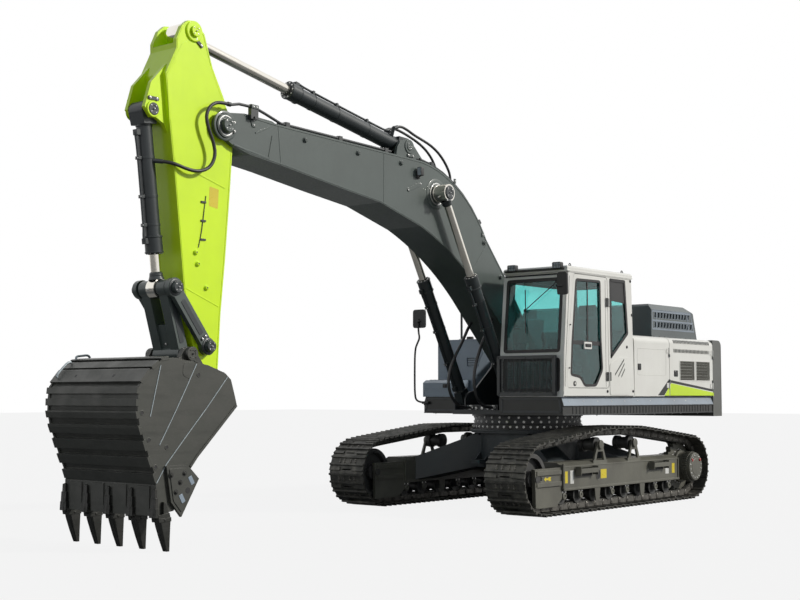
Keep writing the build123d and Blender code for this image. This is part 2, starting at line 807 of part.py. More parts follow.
def make_cab():
    inner = inset(CAB_OUTLINE, CAB_WALL)
    with BuildPart() as cab:
        slab(CAB_OUTLINE, CAB_INNER, UPPER_HALF)
        slab(inner, CAB_INNER + CAB_WALL, UPPER_HALF - CAB_WALL, mode=Mode.SUBTRACT)
        # Door and quarter window in the left side
        slab(DOOR_OUTLINE, UPPER_HALF - 70, UPPER_HALF + 5, mode=Mode.SUBTRACT,
             corner=WINDOW_CORNER + 10)
        slab(QUARTER_OUTLINE, UPPER_HALF - 70, UPPER_HALF + 5, mode=Mode.SUBTRACT, corner=20)
        # Right side window
        slab(RIGHT_WINDOW, CAB_INNER - 5, CAB_INNER + 70, mode=Mode.SUBTRACT, corner=WINDOW_CORNER)
        # Front and rear windows
        for z_low, z_high in WINDSCREENS:
            slice_x(
                [(CAB_INNER + 65, z_low), (UPPER_HALF - 65, z_low), (UPPER_HALF - 65, z_high),
                 (CAB_INNER + 65, z_high)],
                1150,
                1450,
                mode=Mode.SUBTRACT,
                corner=WINDOW_CORNER,
            )
        block((-450, -300), (CAB_INNER + 90, UPPER_HALF - 90), (2400, 3030), mode=Mode.SUBTRACT)
    write(cab.part, "cab_shell")


def make_cab_roof():
    with BuildPart() as roof:
        block((-390, 1290), (CAB_INNER - 5, UPPER_HALF + 4), (CAB_EAVES, CAB_TOP))
        fillet(roof.faces().sort_by(Axis.Z)[-1].edges(), 35)
    write(roof.part, "cab_roof")


def make_cab_door():
    leaf = inset(DOOR_OUTLINE, DOOR_GAP)
    with BuildPart() as door:
        slab(leaf, UPPER_HALF - 55, UPPER_HALF - 2, corner=WINDOW_CORNER + 4)
        slab(DOOR_WINDOW, UPPER_HALF - 60, UPPER_HALF + 5, mode=Mode.SUBTRACT,
             corner=WINDOW_CORNER)
        for z in (1760, 2760):
            with Locations((262, UPPER_HALF + 10, z)):
                Cylinder(10, 110)
            block((262, 330), (UPPER_HALF + 2, UPPER_HALF + 8), (z - 50, z + 50))
            block((300, 330), (UPPER_HALF - 4, UPPER_HALF + 8), (z - 50, z + 50))
    write(door.part, "cab_door")


def make_glass():
    with BuildPart() as glass:
        # Upper and lower windscreens
        for z_bottom, z_top in WINDSCREENS:
            z_low, z_high = z_bottom + SEAT_GAP, z_top - SEAT_GAP
            slab(
                [(front_face(z_low) - 12, z_low), (front_face(z_low) - 6, z_low),
                 (front_face(z_high) - 6, z_high), (front_face(z_high) - 12, z_high)],
                CAB_INNER + 65 + SEAT_GAP,
                UPPER_HALF - 65 - SEAT_GAP,
            )
        # The windscreens' corners are rounded as their openings are.
        width = UPPER_HALF - CAB_INNER - 130 - 2 * SEAT_GAP
        with BuildSketch(Plane.YZ.offset(1150)) as panes:
            for z_bottom, z_top in WINDSCREENS:
                with Locations(((CAB_INNER + UPPER_HALF) / 2, (z_bottom + z_top) / 2)):
                    RectangleRounded(width, z_top - z_bottom - 2 * SEAT_GAP, WINDOW_CORNER)
        extrude(panes.sketch, amount=300, mode=Mode.INTERSECT)
        slab(inset(QUARTER_OUTLINE, SEAT_GAP), UPPER_HALF - 16, UPPER_HALF - 10, corner=20)
        slab(inset(RIGHT_WINDOW, SEAT_GAP), CAB_INNER + 10, CAB_INNER + 16, corner=WINDOW_CORNER)
        low, high = 2400 + SEAT_GAP, 3030 - SEAT_GAP
        slab(
            [(rear_face(low) + 8, low), (rear_face(low) + 14, low),
             (rear_face(high) + 14, high), (rear_face(high) + 8, high)],
            CAB_INNER + 90 + SEAT_GAP,
            UPPER_HALF - 90 - SEAT_GAP,
        )
    write(glass.part, "cab_glass")
    with BuildPart() as pane:
        slab(inset(DOOR_WINDOW, SEAT_GAP), UPPER_HALF - 22, UPPER_HALF - 16, corner=WINDOW_CORNER)
    write(pane.part, "cab_door_glass")


def make_cab_inside():
    z = DECK_TOP + CAB_WALL
    with BuildPart() as seat:
        block((60, 460), (830, 1170), (z, z + 250))
        block((20, 560), (750, 1250), (z + 250, z + 380))
        slab([(20, z + 380), (150, z + 380), (30, z + 1050), (-90, z + 1050)], 760, 1240)
        block((-60, 20), (860, 1140), (z + 1050, z + 1220))
    write(seat.part, "operator_seat")
    with BuildPart() as consoles:
        for low, high in ((620, 735), (1265, 1380)):
            slab([(-20, z), (480, z), (640, z + 560), (600, z + 600), (-20, z + 560)], low, high)
            block((560, 600), (low + 40, low + 75), (z + 560, z + 760))
    write(consoles.part, "control_consoles")


def make_front_guard():
    y_low, y_high = CAB_INNER - 5.0, 1405.0
    with BuildPart() as guard:
        block((1412, 1452), (y_low, y_high), (1498, 2026))
        block((1405, 1460), (y_low + 45, y_high - 45), (1545, 1985), mode=Mode.SUBTRACT)
        for step in range(1, 8):
            x = y_low + 45 + step * (y_high - y_low - 90) / 8
            block((1428, 1436), (x - 5, x + 5), (1540, 1990))
        for z in (1500, 1990):
            for y in (700, 1200):
                slab(
                    [(front_face(z) + 0.05, z), (1412, z), (1412, z + 30),
                     (front_face(z + 30) + 0.05, z + 30)],
                    y,
                    y + 60,
                )
    write(guard.part, "front_guard")


def make_tanks():
    with BuildPart() as fuel:
        slice_x(
            [(-1497, DECK_TOP), (-1497, 2300), (-1460, 2330), (-786, 2330), (-657, 2141),
             (-832, 1790), (-832, DECK_TOP)],
            CAB_REAR - 16,
            150,
        )
        block((140, 160), (-960, -740), (1930, 2060), mode=Mode.SUBTRACT)
    write(fuel.part, "fuel_tank")
    with BuildPart() as box:
        block((156, 520), (-1493, -903), (DECK_TOP, 1600))
        block((176, 500), (-1473, -923), (1505, 1605), mode=Mode.SUBTRACT)
    write(box.part, "tool_box")
    with BuildPart() as lid:
        slab(
            [(160, 1600 + SEAT_GAP), (520, 1600 + SEAT_GAP), (520, 1690), (452, 1730), (160, 1730)],
            -1493,
            -903,
        )
        slab([(176, 1600), (500, 1600), (500, 1682), (446, 1712), (176, 1712)], -1473, -923,
             mode=Mode.SUBTRACT)
        for y in (-1350, -1050):
            cross_bar((165, 1737), 7, y - 40, y + 40)
    write(lid.part, "tool_box_lid")


def make_mirrors():
    with BuildPart() as mirrors:
        stations = (
            # x, y, z of the pole's corners
            (536, -1470, 1400),
            (536, -1600, 1440),
            (533, -1640, 1763),
            (527, -1640, 2178),
            (510, -1560, 2355),
            (510, -1590, 2420),
            (510, -1590, 2640),
        )
        for start, end in zip(stations, stations[1:]):
            bar(start, end, 14)
            with Locations(end):
                Sphere(14)
        bar((510, -1470, 1400), (560, -1470, 1400), 20)
        block((500, 540), (-1500, -1380), (1380, 1420))
        block((470, 500), (-1700, -1470), (2505, 2780))
        block((1510, 1545), (1503, 1654), (2789, 3080))
        bar((1527, 1500, 2900), (1330, 1450, 2930), 12)
        slab(
            [(front_face(2915) + 0.05, 2915), (1342, 2915), (1342, 2945),
             (front_face(2945) + 0.05, 2945)],
            1435,
            1465,
        )
        bar((1527, 1560, 2900), (1527, 1500, 2900), 12)
    write(mirrors.part, "mirrors")


def make_lamps_and_rails():
    with BuildPart() as lamps:
        block((1290, 1330), (CAB_INNER + 40, UPPER_HALF - 40), (3140, 3165))
        for y in (676, 1382):
            block((1300, 1370), (y - 65, y + 65), (3150, 3235))
    write(lamps.part, "roof_lamps")
    with BuildPart() as rail:
        y = -1100
        bar((90, y, 2330), (90, y, 2730), 17)
        bar((90, y, 2730), (-400, y, 2730), 17)
        bar((-400, y, 2730), (-400, y, 2330), 17)
        for x in (90, -400):
            with Locations((x, y, 2730)):
                Sphere(17)
    write(rail.part, "tank_rail")


def make_boom():
    with BuildPart() as boom:
        with BuildSketch(Plane.XZ.offset(-BOOM_HALF)) as side:
            with BuildLine():
                Polyline((352, 1820), (1415, 2811))
                ThreePointArc((1415, 2811), (2100, 3312), (2800, 3645))
                Polyline((2800, 3645), (3600, 3862), (4377, 3957), (5256, 4076), (5809, 4138))
                Polyline((5809, 4138), (6062, 4202), (6266, 4305), (6334, 4394), (6290, 4500),
                         (6150, 4550), (5907, 4581), (5481, 4565), (5432, 4547), (4380, 4523),
                         BOOM_CROWN[0])
                ThreePointArc(*BOOM_CROWN)
                Polyline(BOOM_CROWN[-1], (898, 3092), (80, 2065), (40, 1950), (110, 1810),
                         (230, 1770), (352, 1820))
            make_face()
        extrude(side.sketch, amount=2 * BOOM_HALF)
        slot = ARM_HALF + SIDE_GAP
        cross_bar(BOOM_TIP, 145, -BOOM_HALF, BOOM_HALF)
        cross_bar(BOOM_TIP, 430, -slot, slot, mode=Mode.SUBTRACT)
        slab([(5500, 4640), (5750, 4370), (6191, 4200), (6400, 4640)], -slot, slot,
             mode=Mode.SUBTRACT)
        cross_bar(BOOM_FOOT, 55 + PIN_GAP, -BOOM_HALF, BOOM_HALF, mode=Mode.SUBTRACT)
        cross_bar(BOOM_TIP, 60, -BOOM_HALF - 62, BOOM_HALF + 62)
        for side_sign in (-1, 1):
            cross_bar(BOOM_TIP, 130, *sorted((side_sign * BOOM_HALF, side_sign * (BOOM_HALF + 22))))
            cross_bar(BOOM_TIP, 80,
                      *sorted((side_sign * (BOOM_HALF + 22), side_sign * (BOOM_HALF + 65))))
            cross_bar(BOOM_CYL_EYE, 150,
                      *sorted((side_sign * BOOM_HALF, side_sign * (BOOM_HALF + 14))))
            # Bracket plates of the arm cylinder
            slab(
                [(3150, 4480), (3116, 4639), (3055, 4726), (2900, 4775), (2775, 4689),
                 (2450, 4400)],
                *sorted((side_sign * 112, side_sign * 152)),
            )
        cross_bar(ARM_CYL_FOOT, 50, -160, 160)
    write(boom.part, "boom")
    with BuildPart() as lamp:
        block((2835, 2895), (BOOM_HALF, BOOM_HALF + 20), (4250, 4350))
        block((2830, 2900), (BOOM_HALF + 20, BOOM_HALF + 85), (4280, 4390))
    write(lamp.part, "boom_lamp")


def arc_points(first, middle, last, offset, count):
    """Points on the arc through three points, moved outward from its centre by offset."""
    (x1, z1), (x2, z2), (x3, z3) = first, middle, last
    d = 2 * (x1 * (z2 - z3) + x2 * (z3 - z1) + x3 * (z1 - z2))
    s1, s2, s3 = x1 * x1 + z1 * z1, x2 * x2 + z2 * z2, x3 * x3 + z3 * z3
    cx = (s1 * (z2 - z3) + s2 * (z3 - z1) + s3 * (z1 - z2)) / d
    cz = (s1 * (x3 - x2) + s2 * (x1 - x3) + s3 * (x2 - x1)) / d
    radius = math.dist((cx, cz), first) + offset
    start = math.atan2(z1 - cz, x1 - cx)
    turn = math.remainder(math.atan2(z3 - cz, x3 - cx) - start, 2 * math.pi)
    angles = [start + turn * i / count for i in range(count + 1)]
    return [(cx + radius * math.cos(a), cz + radius * math.sin(a)) for a in angles]


def make_boom_pipes():
    """Rigid oil pipes along the boom's top, held by clamps."""
    pipe, lift = 16.0, 30.0
    crown = arc_points(*BOOM_CROWN, lift, 7)
    straight = [(x, z + lift) for x, z in ((3350, 4501), (4380, 4523), (5300, 4543))]
    with BuildPart() as pipes:
        for y in (-232, -190, 190, 232):
            for route in (crown, straight):
                for a, b in zip(route, route[1:]):
                    bar((a[0], y, a[1]), (b[0], y, b[1]), pipe)
                    with Locations((b[0], y, b[1])):
                        Sphere(pipe)
        base = arc_points(*BOOM_CROWN, 0.1, 7)
        top = arc_points(*BOOM_CROWN, lift + 28, 7)
        for step in (1, 6):
            for y in (-211, 211):
                near, far = base[step], top[step]
                slab(
                    [along(near, far, 0.3, 30), along(near, far, 58, 30),
                     along(near, far, 58, -30), along(near, far, 0.3, -30)],
                    y - 45,
                    y + 45,
                )
        for x, z in ((3450, 4503), (4300, 4521.4), (5200, 4541.9)):
            for y in (-211, 211):
                block((x - 30, x + 30), (y - 45, y + 45), (z + 1, z + 58))
        # Pipe past the arm to the free hose, on a block beside the boom's tip
        tip = (
            (5300, 232, 4573),
            (5560, 245, 4640),
            (5780, 300, 4665),
            (6010, 300, 4665),
            (6130, 300, 4637),
            (6179.95, 300, 4637),
        )
        for a, b in zip(tip, tip[1:]):
            bar(a, b, pipe)
        for at in tip[:-1]:
            with Locations(at):
                Sphere(pipe)
        for x, z, side in ((2010, 4270, 1), (1885, 4200, -1)):
            bar((x, side * 150, z), (x, side * 150, 4319.95 if side > 0 else 4299.95), 24)
            bar((x, side * 150, z + 12), (x, side * 205, z + 12), 20)
        block((5740, 5850), (BOOM_HALF + 0.3, 325), (4530, 4690))
        cross_bar((5795, 4550), 14, BOOM_HALF + 0.3, 340)
        bar((6140, 300, 4637), (6179.95, 300, 4637), 25)
    write(pipes.part, "boom_pipes")


def axis_point(foot, head, distance, y):
    """The point in space at a distance along a cylinder's axis, in the plane at y."""
    x, z = along(foot, head, distance)
    return (x, y, z)


def cylinder_barrel(foot, head, length, outer, y, eye_half):
    """A hydraulic barrel from its foot eye to its gland."""
    eye = outer * 0.62
    cross_bar(foot, eye, y - eye_half, y + eye_half)
    slab(
        [along(foot, head, 0, eye), along(foot, head, eye + 40, outer / 2),
         along(foot, head, eye + 40, -outer / 2), along(foot, head, 0, -eye)],
        y - eye_half,
        y + eye_half,
    )
    shell_end = axis_point(foot, head, length - 180, y)
    bar(axis_point(foot, head, eye + 38, y), shell_end, outer / 2)
    gland = axis_point(foot, head, length - 185, y)
    bar(gland, axis_point(foot, head, length, y), outer / 2 + 10)


def cylinder_rod(foot, head, length, radius, y, eye_half, eye_radius, inside):
    """A rod from inside its barrel to its eye."""
    end = math.dist(foot, head) - eye_radius * 0.6
    bar(axis_point(foot, head, inside, y), axis_point(foot, head, end, y), radius)
    cross_bar(head, eye_radius, y - eye_half, y + eye_half)


CYLINDERS = {
    # name: foot, head, barrel length, barrel diameter, rod radius, rod start in the barrel
    "boom_cylinder": (BOOM_CYL_FOOT, BOOM_CYL_EYE, 1850.0, 160.0, 50.0, 1055.0),
    "arm_cylinder": (ARM_CYL_FOOT, ARM_CYL_EYE, 2110.0, 190.0, 57.0, 1600.0),
    "bucket_cylinder": (BUCKET_CYL_FOOT, ROCKER_EYE, 1480.0, 165.0, 55.0, 200.0),
}

# Steel fittings from the free hoses' ends into the barrels' sides
HOSE_FITTINGS = {
    "bucket_cylinder": (((6948.05, 149.94, 3922.01), (7010.7, 72.7, 3932.2)),),
    "arm_cylinder": (
        ((3055.05, 100, 4904.98), (3129.8, 100, 4882)),
        ((3129.8, 100, 4890), (3130, 60, 4770)),
        ((3025.05, -60, 4899.98), (3099.8, -57.7, 4871.25)),
        ((3099.8, -57.7, 4880), (3100, -40, 4770)),
    ),
}


def make_cylinders():
    rows = (
        # name, y places, foot eye half-width, head eye half-width, head eye radius, pin radius
        ("boom_cylinder", (-BOOM_CYL_Y, BOOM_CYL_Y), 60.0, 95.0, 110.0, 50.0),
        ("arm_cylinder", (0.0,), 105.0, 100.0, 115.0, 50.0),
        ("bucket_cylinder", (0.0,), 108.0, 62.0, 105.0, 50.0),
    )
    for name, places, foot_half, head_half, eye_radius, pin_radius in rows:
        foot, head, length, outer, rod_radius, inside = CYLINDERS[name]
        with BuildPart() as barrel:
            for y in places:
                cylinder_barrel(foot, head, length, outer, y, foot_half)
                for start, end in HOSE_FITTINGS.get(name, ()):
                    bar(start, end, 24)
                cross_bar(foot, pin_radius + PIN_GAP, y - 200, y + 200, mode=Mode.SUBTRACT)
                bore_start = axis_point(foot, head, outer * 0.7, y)
                bore_end = axis_point(foot, head, length + 5, y)
                bar(bore_start, bore_end, rod_radius + PIN_GAP, mode=Mode.SUBTRACT)
        write(barrel.part, f"{name}_barrel")
        with BuildPart() as rod:
            for y in places:
                cylinder_rod(foot, head, length, rod_radius, y, head_half, eye_radius, inside)
        write(rod.part, f"{name}_rod")


def make_arm():
    with BuildPart() as arm:
        slab(
            [(6579, 5474), (6441, 5358), (6384, 5190), (6317, 5008), (6154, 4689), (6087, 4567),
             (6016, 4234), (6048, 3740), (6112, 2959), (6171, 2374), (6203, 1781), (6230, 1620),
             (6300, 1572), (6380, 1585), (6440, 1660), (6493, 1872), (6564, 2039), (6674, 2499),
             (6826, 3753), (6904, 4277), (6974, 4841), (6831, 5139), (6833, 5234), (6765, 5385),
             (6680, 5460)],
            -ARM_HALF,
            ARM_HALF,
        )
        # The top opens between the side plates for the cylinder's eye.
        slab(
            [(6100, 4780), (6800, 5120), (7000, 5600), (6200, 5600), (6000, 4900)],
            -160,
            160,
            mode=Mode.SUBTRACT,
        )
        for side in (-1, 1):
            slab(
                [(6850, 4950), (6924, 4953), (7125, 4727), (7204, 4460), (7119, 4362),
                 (7051, 4367), (6948, 4317), (6850, 4150)],
                *sorted((side * 114, side * 160)),
            )
            cross_bar(ARM_CYL_EYE, 50, *sorted((side * 106, side * (ARM_HALF + 40))))
            cross_bar(ARM_CYL_EYE, 95, *sorted((side * 106, side * 162)))
            cross_bar(ROCKER_FOOT, 105, *sorted((side * ARM_HALF, side * (ARM_HALF + 8))))
        cross_bar(BUCKET_CYL_FOOT, 50, -172, 172)
        cross_bar(BOOM_TIP, 60 + PIN_GAP, -300, 300, mode=Mode.SUBTRACT)
        cross_bar(BUCKET_PIN, 55 + PIN_GAP, -300, 300, mode=Mode.SUBTRACT)
        cross_bar(ROCKER_FOOT, 50 + PIN_GAP, -300, 300, mode=Mode.SUBTRACT)
    write(arm.part, "arm")


def make_linkage():
    with BuildPart() as rocker:
        for side in (-1, 1):
            low, high = sorted((side * (ARM_HALF + 14), side * (ARM_HALF + 74)))
            eye_bar(ROCKER_FOOT, ROCKER_EYE, low, high, 92, 100, 70)
            cap = sorted((side * (ARM_HALF + 74), side * (ARM_HALF + 125)))
            cross_bar(ROCKER_FOOT, 62, *cap)
            cross_bar(ROCKER_EYE, 62, *cap)
        cross_bar(ROCKER_FOOT, 50, -ARM_HALF - 74, ARM_HALF + 74)
    write(rocker.part, "rocker_links")
    with BuildPart() as link:
        for side in (-1, 1):
            low, high = sorted((side * 74, side * 202))
            eye_bar(LINK_FOOT, ROCKER_EYE, low, high, 88, 88, 60)
        cross_bar(LINK_FOOT, 88, -202, 202)
        slab(
            [
                along(LINK_FOOT, ROCKER_EYE, 60, 40),
                along(LINK_FOOT, ROCKER_EYE, 330, 40),
                along(LINK_FOOT, ROCKER_EYE, 330, -40),
                along(LINK_FOOT, ROCKER_EYE, 60, -40),
            ],
            -202,
            202,
        )
        cross_bar(LINK_FOOT, 50 + PIN_GAP, -250, 250, mode=Mode.SUBTRACT)
    write(link.part, "connecting_link")


BUCKET_OUTLINE = (
    (6392, 1391), (6920, 892), (7009, 790), (7231, 384), (7452, 354), (7457, 647), (7497, 766),
    (7556, 900), (7625, 1078), (7673, 1195), (7708, 1341), (7706, 1472), (7690, 1603),
    (7561, 1751), (7401, 1868), (7255, 1890), (6954, 1845), (6800, 1809), (6663, 1765),
    (6557, 1727), (6481, 1666), (6425, 1501),
)


def make_bucket():
    ear_low, ear_high = ARM_HALF + 14, ARM_HALF + 74
    with BuildPart() as bucket:
        slab(BUCKET_OUTLINE, -BUCKET_HALF, BUCKET_HALF)
        cavity = (
            (6280, 1350), (6800, 800), (6900, 650), (7100, 330), (7385, 330), (7385, 500),
            (7425, 655), (7466, 780), (7525, 915), (7592, 1090), (7642, 1210), (7675, 1345),
            (7673, 1465), (7655, 1590), (7540, 1725), (7390, 1832), (7252, 1855),
            (6962, 1812), (6812, 1776), (6675, 1733), (6580, 1698), (6512, 1650), (6458, 1495),
            (6420, 1380),
        )
        slab(cavity, -BUCKET_HALF + BUCKET_WALL, BUCKET_HALF - BUCKET_WALL, mode=Mode.SUBTRACT)
        cross_bar(BUCKET_PIN, 135, -ear_low + 1, ear_low - 1, mode=Mode.SUBTRACT)
        for side in (-1, 1):
            slab(
                [(6260, 1590), (6230, 1690), (6270, 1780), (6480, 1835), (6580, 1960),
                 (6625, 2010), (6740, 1990), (6790, 1900), (6960, 1830), (6660, 1745), (6560, 1712),
                 (6495, 1655), (6440, 1500), (6420, 1470)],
                *sorted((side * ear_low, side * ear_high)),
            )
            cap = sorted((side * ear_high, side * (ear_high + 40)))
            cross_bar(BUCKET_PIN, 85, *cap)
            cross_bar(LINK_FOOT, 75, *cap)
            cutter = sorted((side * BUCKET_HALF, side * (BUCKET_HALF + 40)))
            slab(
                [(7355, 822), (7105, 825), (7030, 775), (6932, 683), (7157, 321), (7290, 470)],
                *cutter,
            )
        cross_bar(BUCKET_PIN, 55, -ear_high, ear_high)
        cross_bar(LINK_FOOT, 50, -ear_high, ear_high)
    write(bucket.part, "bucket")
    lip = ((7385, 363), (7452, 354), (7457, 647), (7425, 655), (7385, 500))
    tooth = (
        (7456, 600), (7482, 575), (7470, 318), (7434, 290), (7330, 0), (7294, 0), (7303, 290),
        (7300, 330), (7360, 470), (7384, 480), (7400, 500),
    )
    with BuildPart() as teeth:
        for y in (-700, -350, 0, 350, 700):
            slab(tooth, y - 48, y + 48)
            # Each tooth narrows towards its tip.
            for side in (-1, 1):
                slice_x(
                    [(y + side * 48, 290), (y + side * 60, 290), (y + side * 60, -5),
                     (y + side * 30, -5)],
                    7200,
                    7500,
                    mode=Mode.SUBTRACT,
                )
        slab(lip, -BUCKET_HALF, BUCKET_HALF, mode=Mode.SUBTRACT)
        for side in (-1, 1):
            plate = sorted((side * (BUCKET_HALF - BUCKET_WALL), side * BUCKET_HALF))
            slab(BUCKET_OUTLINE, *plate, mode=Mode.SUBTRACT)
    write(teeth.part, "bucket_teeth")


HOSES = {
    # name: diameter, route
    "bucket_hose": (
        38.0,
        ((6180, 300, 4637), (6268, 300, 4637), (6364, 300, 4618), (6446, 300, 4558),
         (6490, 300, 4456), (6455, 300, 4328), (6384, 300, 4202), (6348, 300, 4066),
         (6400, 300, 3938), (6506, 295, 3868), (6623, 285, 3848), (6730, 268, 3864),
         (6826, 244, 3892), (6904, 204, 3914.8), (6948, 150, 3922)),
    ),
    "arm_cylinder_hose_left": (
        34.0,
        ((3055, 100, 4905), (2990, 100, 4925), (2860, 100, 4900), (2710, 100, 4850),
         (2550, 105, 4812), (2400, 115, 4768), (2270, 125, 4705), (2160, 135, 4620),
         (2075, 145, 4520), (2010, 150, 4410), (2010, 150, 4320)),
    ),
    "arm_cylinder_hose_right": (
        34.0,
        ((3025, -60, 4900), (2960, -62, 4925), (2830, -70, 4920), (2670, -80, 4893),
         (2500, -92, 4858), (2330, -105, 4812), (2170, -118, 4745), (2035, -130, 4650),
         (1940, -142, 4530), (1885, -150, 4405), (1885, -150, 4300)),
    ),
    "boom_hose_left": (
        42.0,
        ((1130, 190, 1340), (1230, 190, 1340), (1365, 190, 1375), (1480, 190, 1465),
         (1545, 190, 1600), (1555, 190, 1750), (1520, 190, 1900), (1455, 190, 2045),
         (1375, 190, 2190), (1290, 190, 2320), (1225, 190, 2430), (1128.8, 190, 2542.2)),
    ),
    "boom_hose_right": (
        42.0,
        ((1130, -190, 1340), (1230, -190, 1340), (1375, -190, 1365), (1510, -190, 1440),
         (1600, -190, 1570), (1620, -190, 1720), (1575, -190, 1860), (1500, -190, 1985),
         (1415, -190, 2100), (1325, -190, 2205), (1240, -190, 2320), (1165, -190, 2430),
         (1091, -190, 2507.4)),
    ),
}


def make_hoses():
    """Free hoses as straight runs joined by tangent arcs."""
    for name, (diameter, route) in HOSES.items():
        points = [Vector(*p) for p in route]
        radii = []
        for before, at, after in zip(points, points[1:], points[2:]):
            turn = math.radians((at - before).get_angle(after - at))
            reach = 0.45 * min((at - before).length, (after - at).length)
            radii.append(reach / math.tan(turn / 2))
        with BuildPart() as tube:
            with BuildLine() as path:
                FilletPolyline(*route, radius=radii)
            with BuildSketch(Plane(origin=path.line @ 0, z_dir=path.line % 0)):
                Circle(diameter / 2)
            sweep()
        print(name, "length", round(path.wires()[0].length), "radii", [round(r) for r in radii])
        write(tube.part, name)


make_tracks()
make_track_frames()
make_idlers()
make_final_drives()
make_rollers()
make_car_body()
make_slew_ring()
make_revolving_frame()
make_side_decks()
make_counterweight()
make_engine()
make_engine_cover()
make_side_doors()
make_hydraulic_tank()
make_hood_lid()
make_cab()
make_cab_roof()
make_cab_door()
make_glass()
make_cab_inside()
make_front_guard()
make_tanks()
make_mirrors()
make_lamps_and_rails()
make_boom()
make_boom_pipes()
make_cylinders()
make_arm()
make_linkage()
make_bucket()
make_hoses()
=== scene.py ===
import bmesh
import bpy
from math import acos, atan2, cos, dist, hypot, pi, radians, remainder, sin, sqrt
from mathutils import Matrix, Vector


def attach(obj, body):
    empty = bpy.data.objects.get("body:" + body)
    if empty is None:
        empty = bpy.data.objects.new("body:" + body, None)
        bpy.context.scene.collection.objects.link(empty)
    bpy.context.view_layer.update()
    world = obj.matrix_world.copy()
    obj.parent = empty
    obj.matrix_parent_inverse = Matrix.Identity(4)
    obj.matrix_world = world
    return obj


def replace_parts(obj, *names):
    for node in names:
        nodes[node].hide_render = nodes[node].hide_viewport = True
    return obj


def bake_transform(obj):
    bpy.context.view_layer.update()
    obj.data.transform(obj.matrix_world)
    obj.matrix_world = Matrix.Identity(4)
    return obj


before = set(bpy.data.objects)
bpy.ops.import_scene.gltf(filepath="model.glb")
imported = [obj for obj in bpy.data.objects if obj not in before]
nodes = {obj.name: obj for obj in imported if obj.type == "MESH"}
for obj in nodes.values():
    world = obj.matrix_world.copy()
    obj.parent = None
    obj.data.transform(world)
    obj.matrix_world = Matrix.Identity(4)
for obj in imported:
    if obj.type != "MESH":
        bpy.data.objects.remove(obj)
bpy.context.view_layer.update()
scene = bpy.context.scene

# camera, at the height of the cab floor, looking back along the machine
cameraSettings = {"place": (15.914, 10.662, 1.504), "yaw": 219.286, "pitch": 4.12, "lens": 59.67}


def makeCamera(s):
    data = bpy.data.cameras.new("camera")
    data.lens = s["lens"]
    data.sensor_width = 36
    data.clip_end = 400
    cam = bpy.data.objects.new("camera", data)
    scene.collection.objects.link(cam)
    yaw, pitch = radians(s["yaw"]), radians(s["pitch"])
    look = Vector((cos(yaw) * cos(pitch), sin(yaw) * cos(pitch), sin(pitch)))
    cam.location = s["place"]
    cam.rotation_euler = look.to_track_quat("-Z", "Y").to_euler()
    scene.camera = cam


makeCamera(cameraSettings)
scene.view_settings.view_transform = "Standard"
print("camera ready")

finishes = {}


def nodeTree(name):
    mat = bpy.data.materials.new(name)
    mat.use_nodes = True
    tree = mat.node_tree
    place = tree.nodes.new("ShaderNodeTexCoord")
    finishes[name] = mat
    return tree, tree.nodes["Principled BSDF"], place.outputs["Object"]


def feed(tree, node, values):
    # each input takes another node's output, a colour or a number
    for key, value in values.items():
        socket = node.inputs[key]
        if isinstance(value, bpy.types.NodeSocket):
            tree.links.new(value, socket)
        else:
            socket.default_value = (*value[:3], 1) if socket.type == "RGBA" else value
    return node


def addNode(tree, kind, values, **settings):
    node = tree.nodes.new("ShaderNode" + kind)
    for key, value in settings.items():
        setattr(node, key, value)
    return feed(tree, node, values)


def calculate(tree, operation, first, second):
    return addNode(tree, "Math", {0: first, 1: second}, operation=operation).outputs[0]


def dotProduct(tree, first, second):
    return addNode(tree, "VectorMath", {0: first, 1: second}, operation="DOT_PRODUCT").outputs["Value"]


def noise(tree, place, scale, detail=4.0, stretch=None):
    if stretch:
        place = addNode(tree, "Mapping", {"Scale": stretch, "Vector": place}).outputs["Vector"]
    return addNode(tree, "TexNoise", {"Scale": scale, "Detail": detail, "Vector": place}).outputs["Fac"]


def spread(tree, value, low, high, outLow=0.0, outHigh=1.0):
    limits = {"From Min": low, "From Max": high, "To Min": outLow, "To Max": outHigh}
    return addNode(tree, "MapRange", {**limits, "Value": value}).outputs["Result"]


def blendColour(tree, factor, first, second):
    return addNode(tree, "Mix", {0: factor, 6: first, 7: second}, data_type="RGBA").outputs[2]


def cloudTone(tree, cloud, low, high, first, second):
    return blendColour(tree, spread(tree, cloud, low, high), first, second)


def roundNormal(tree, radius):
    return addNode(tree, "Bevel", {"Radius": radius}, samples=3).outputs["Normal"]


def roughen(tree, shader, height, strength, distance, edge=0.0):
    bump = addNode(tree, "Bump", {"Strength": strength, "Distance": distance, "Height": height})
    if edge:
        feed(tree, bump, {"Normal": roundNormal(tree, edge)})
    feed(tree, shader, {"Normal": bump.outputs["Normal"]})


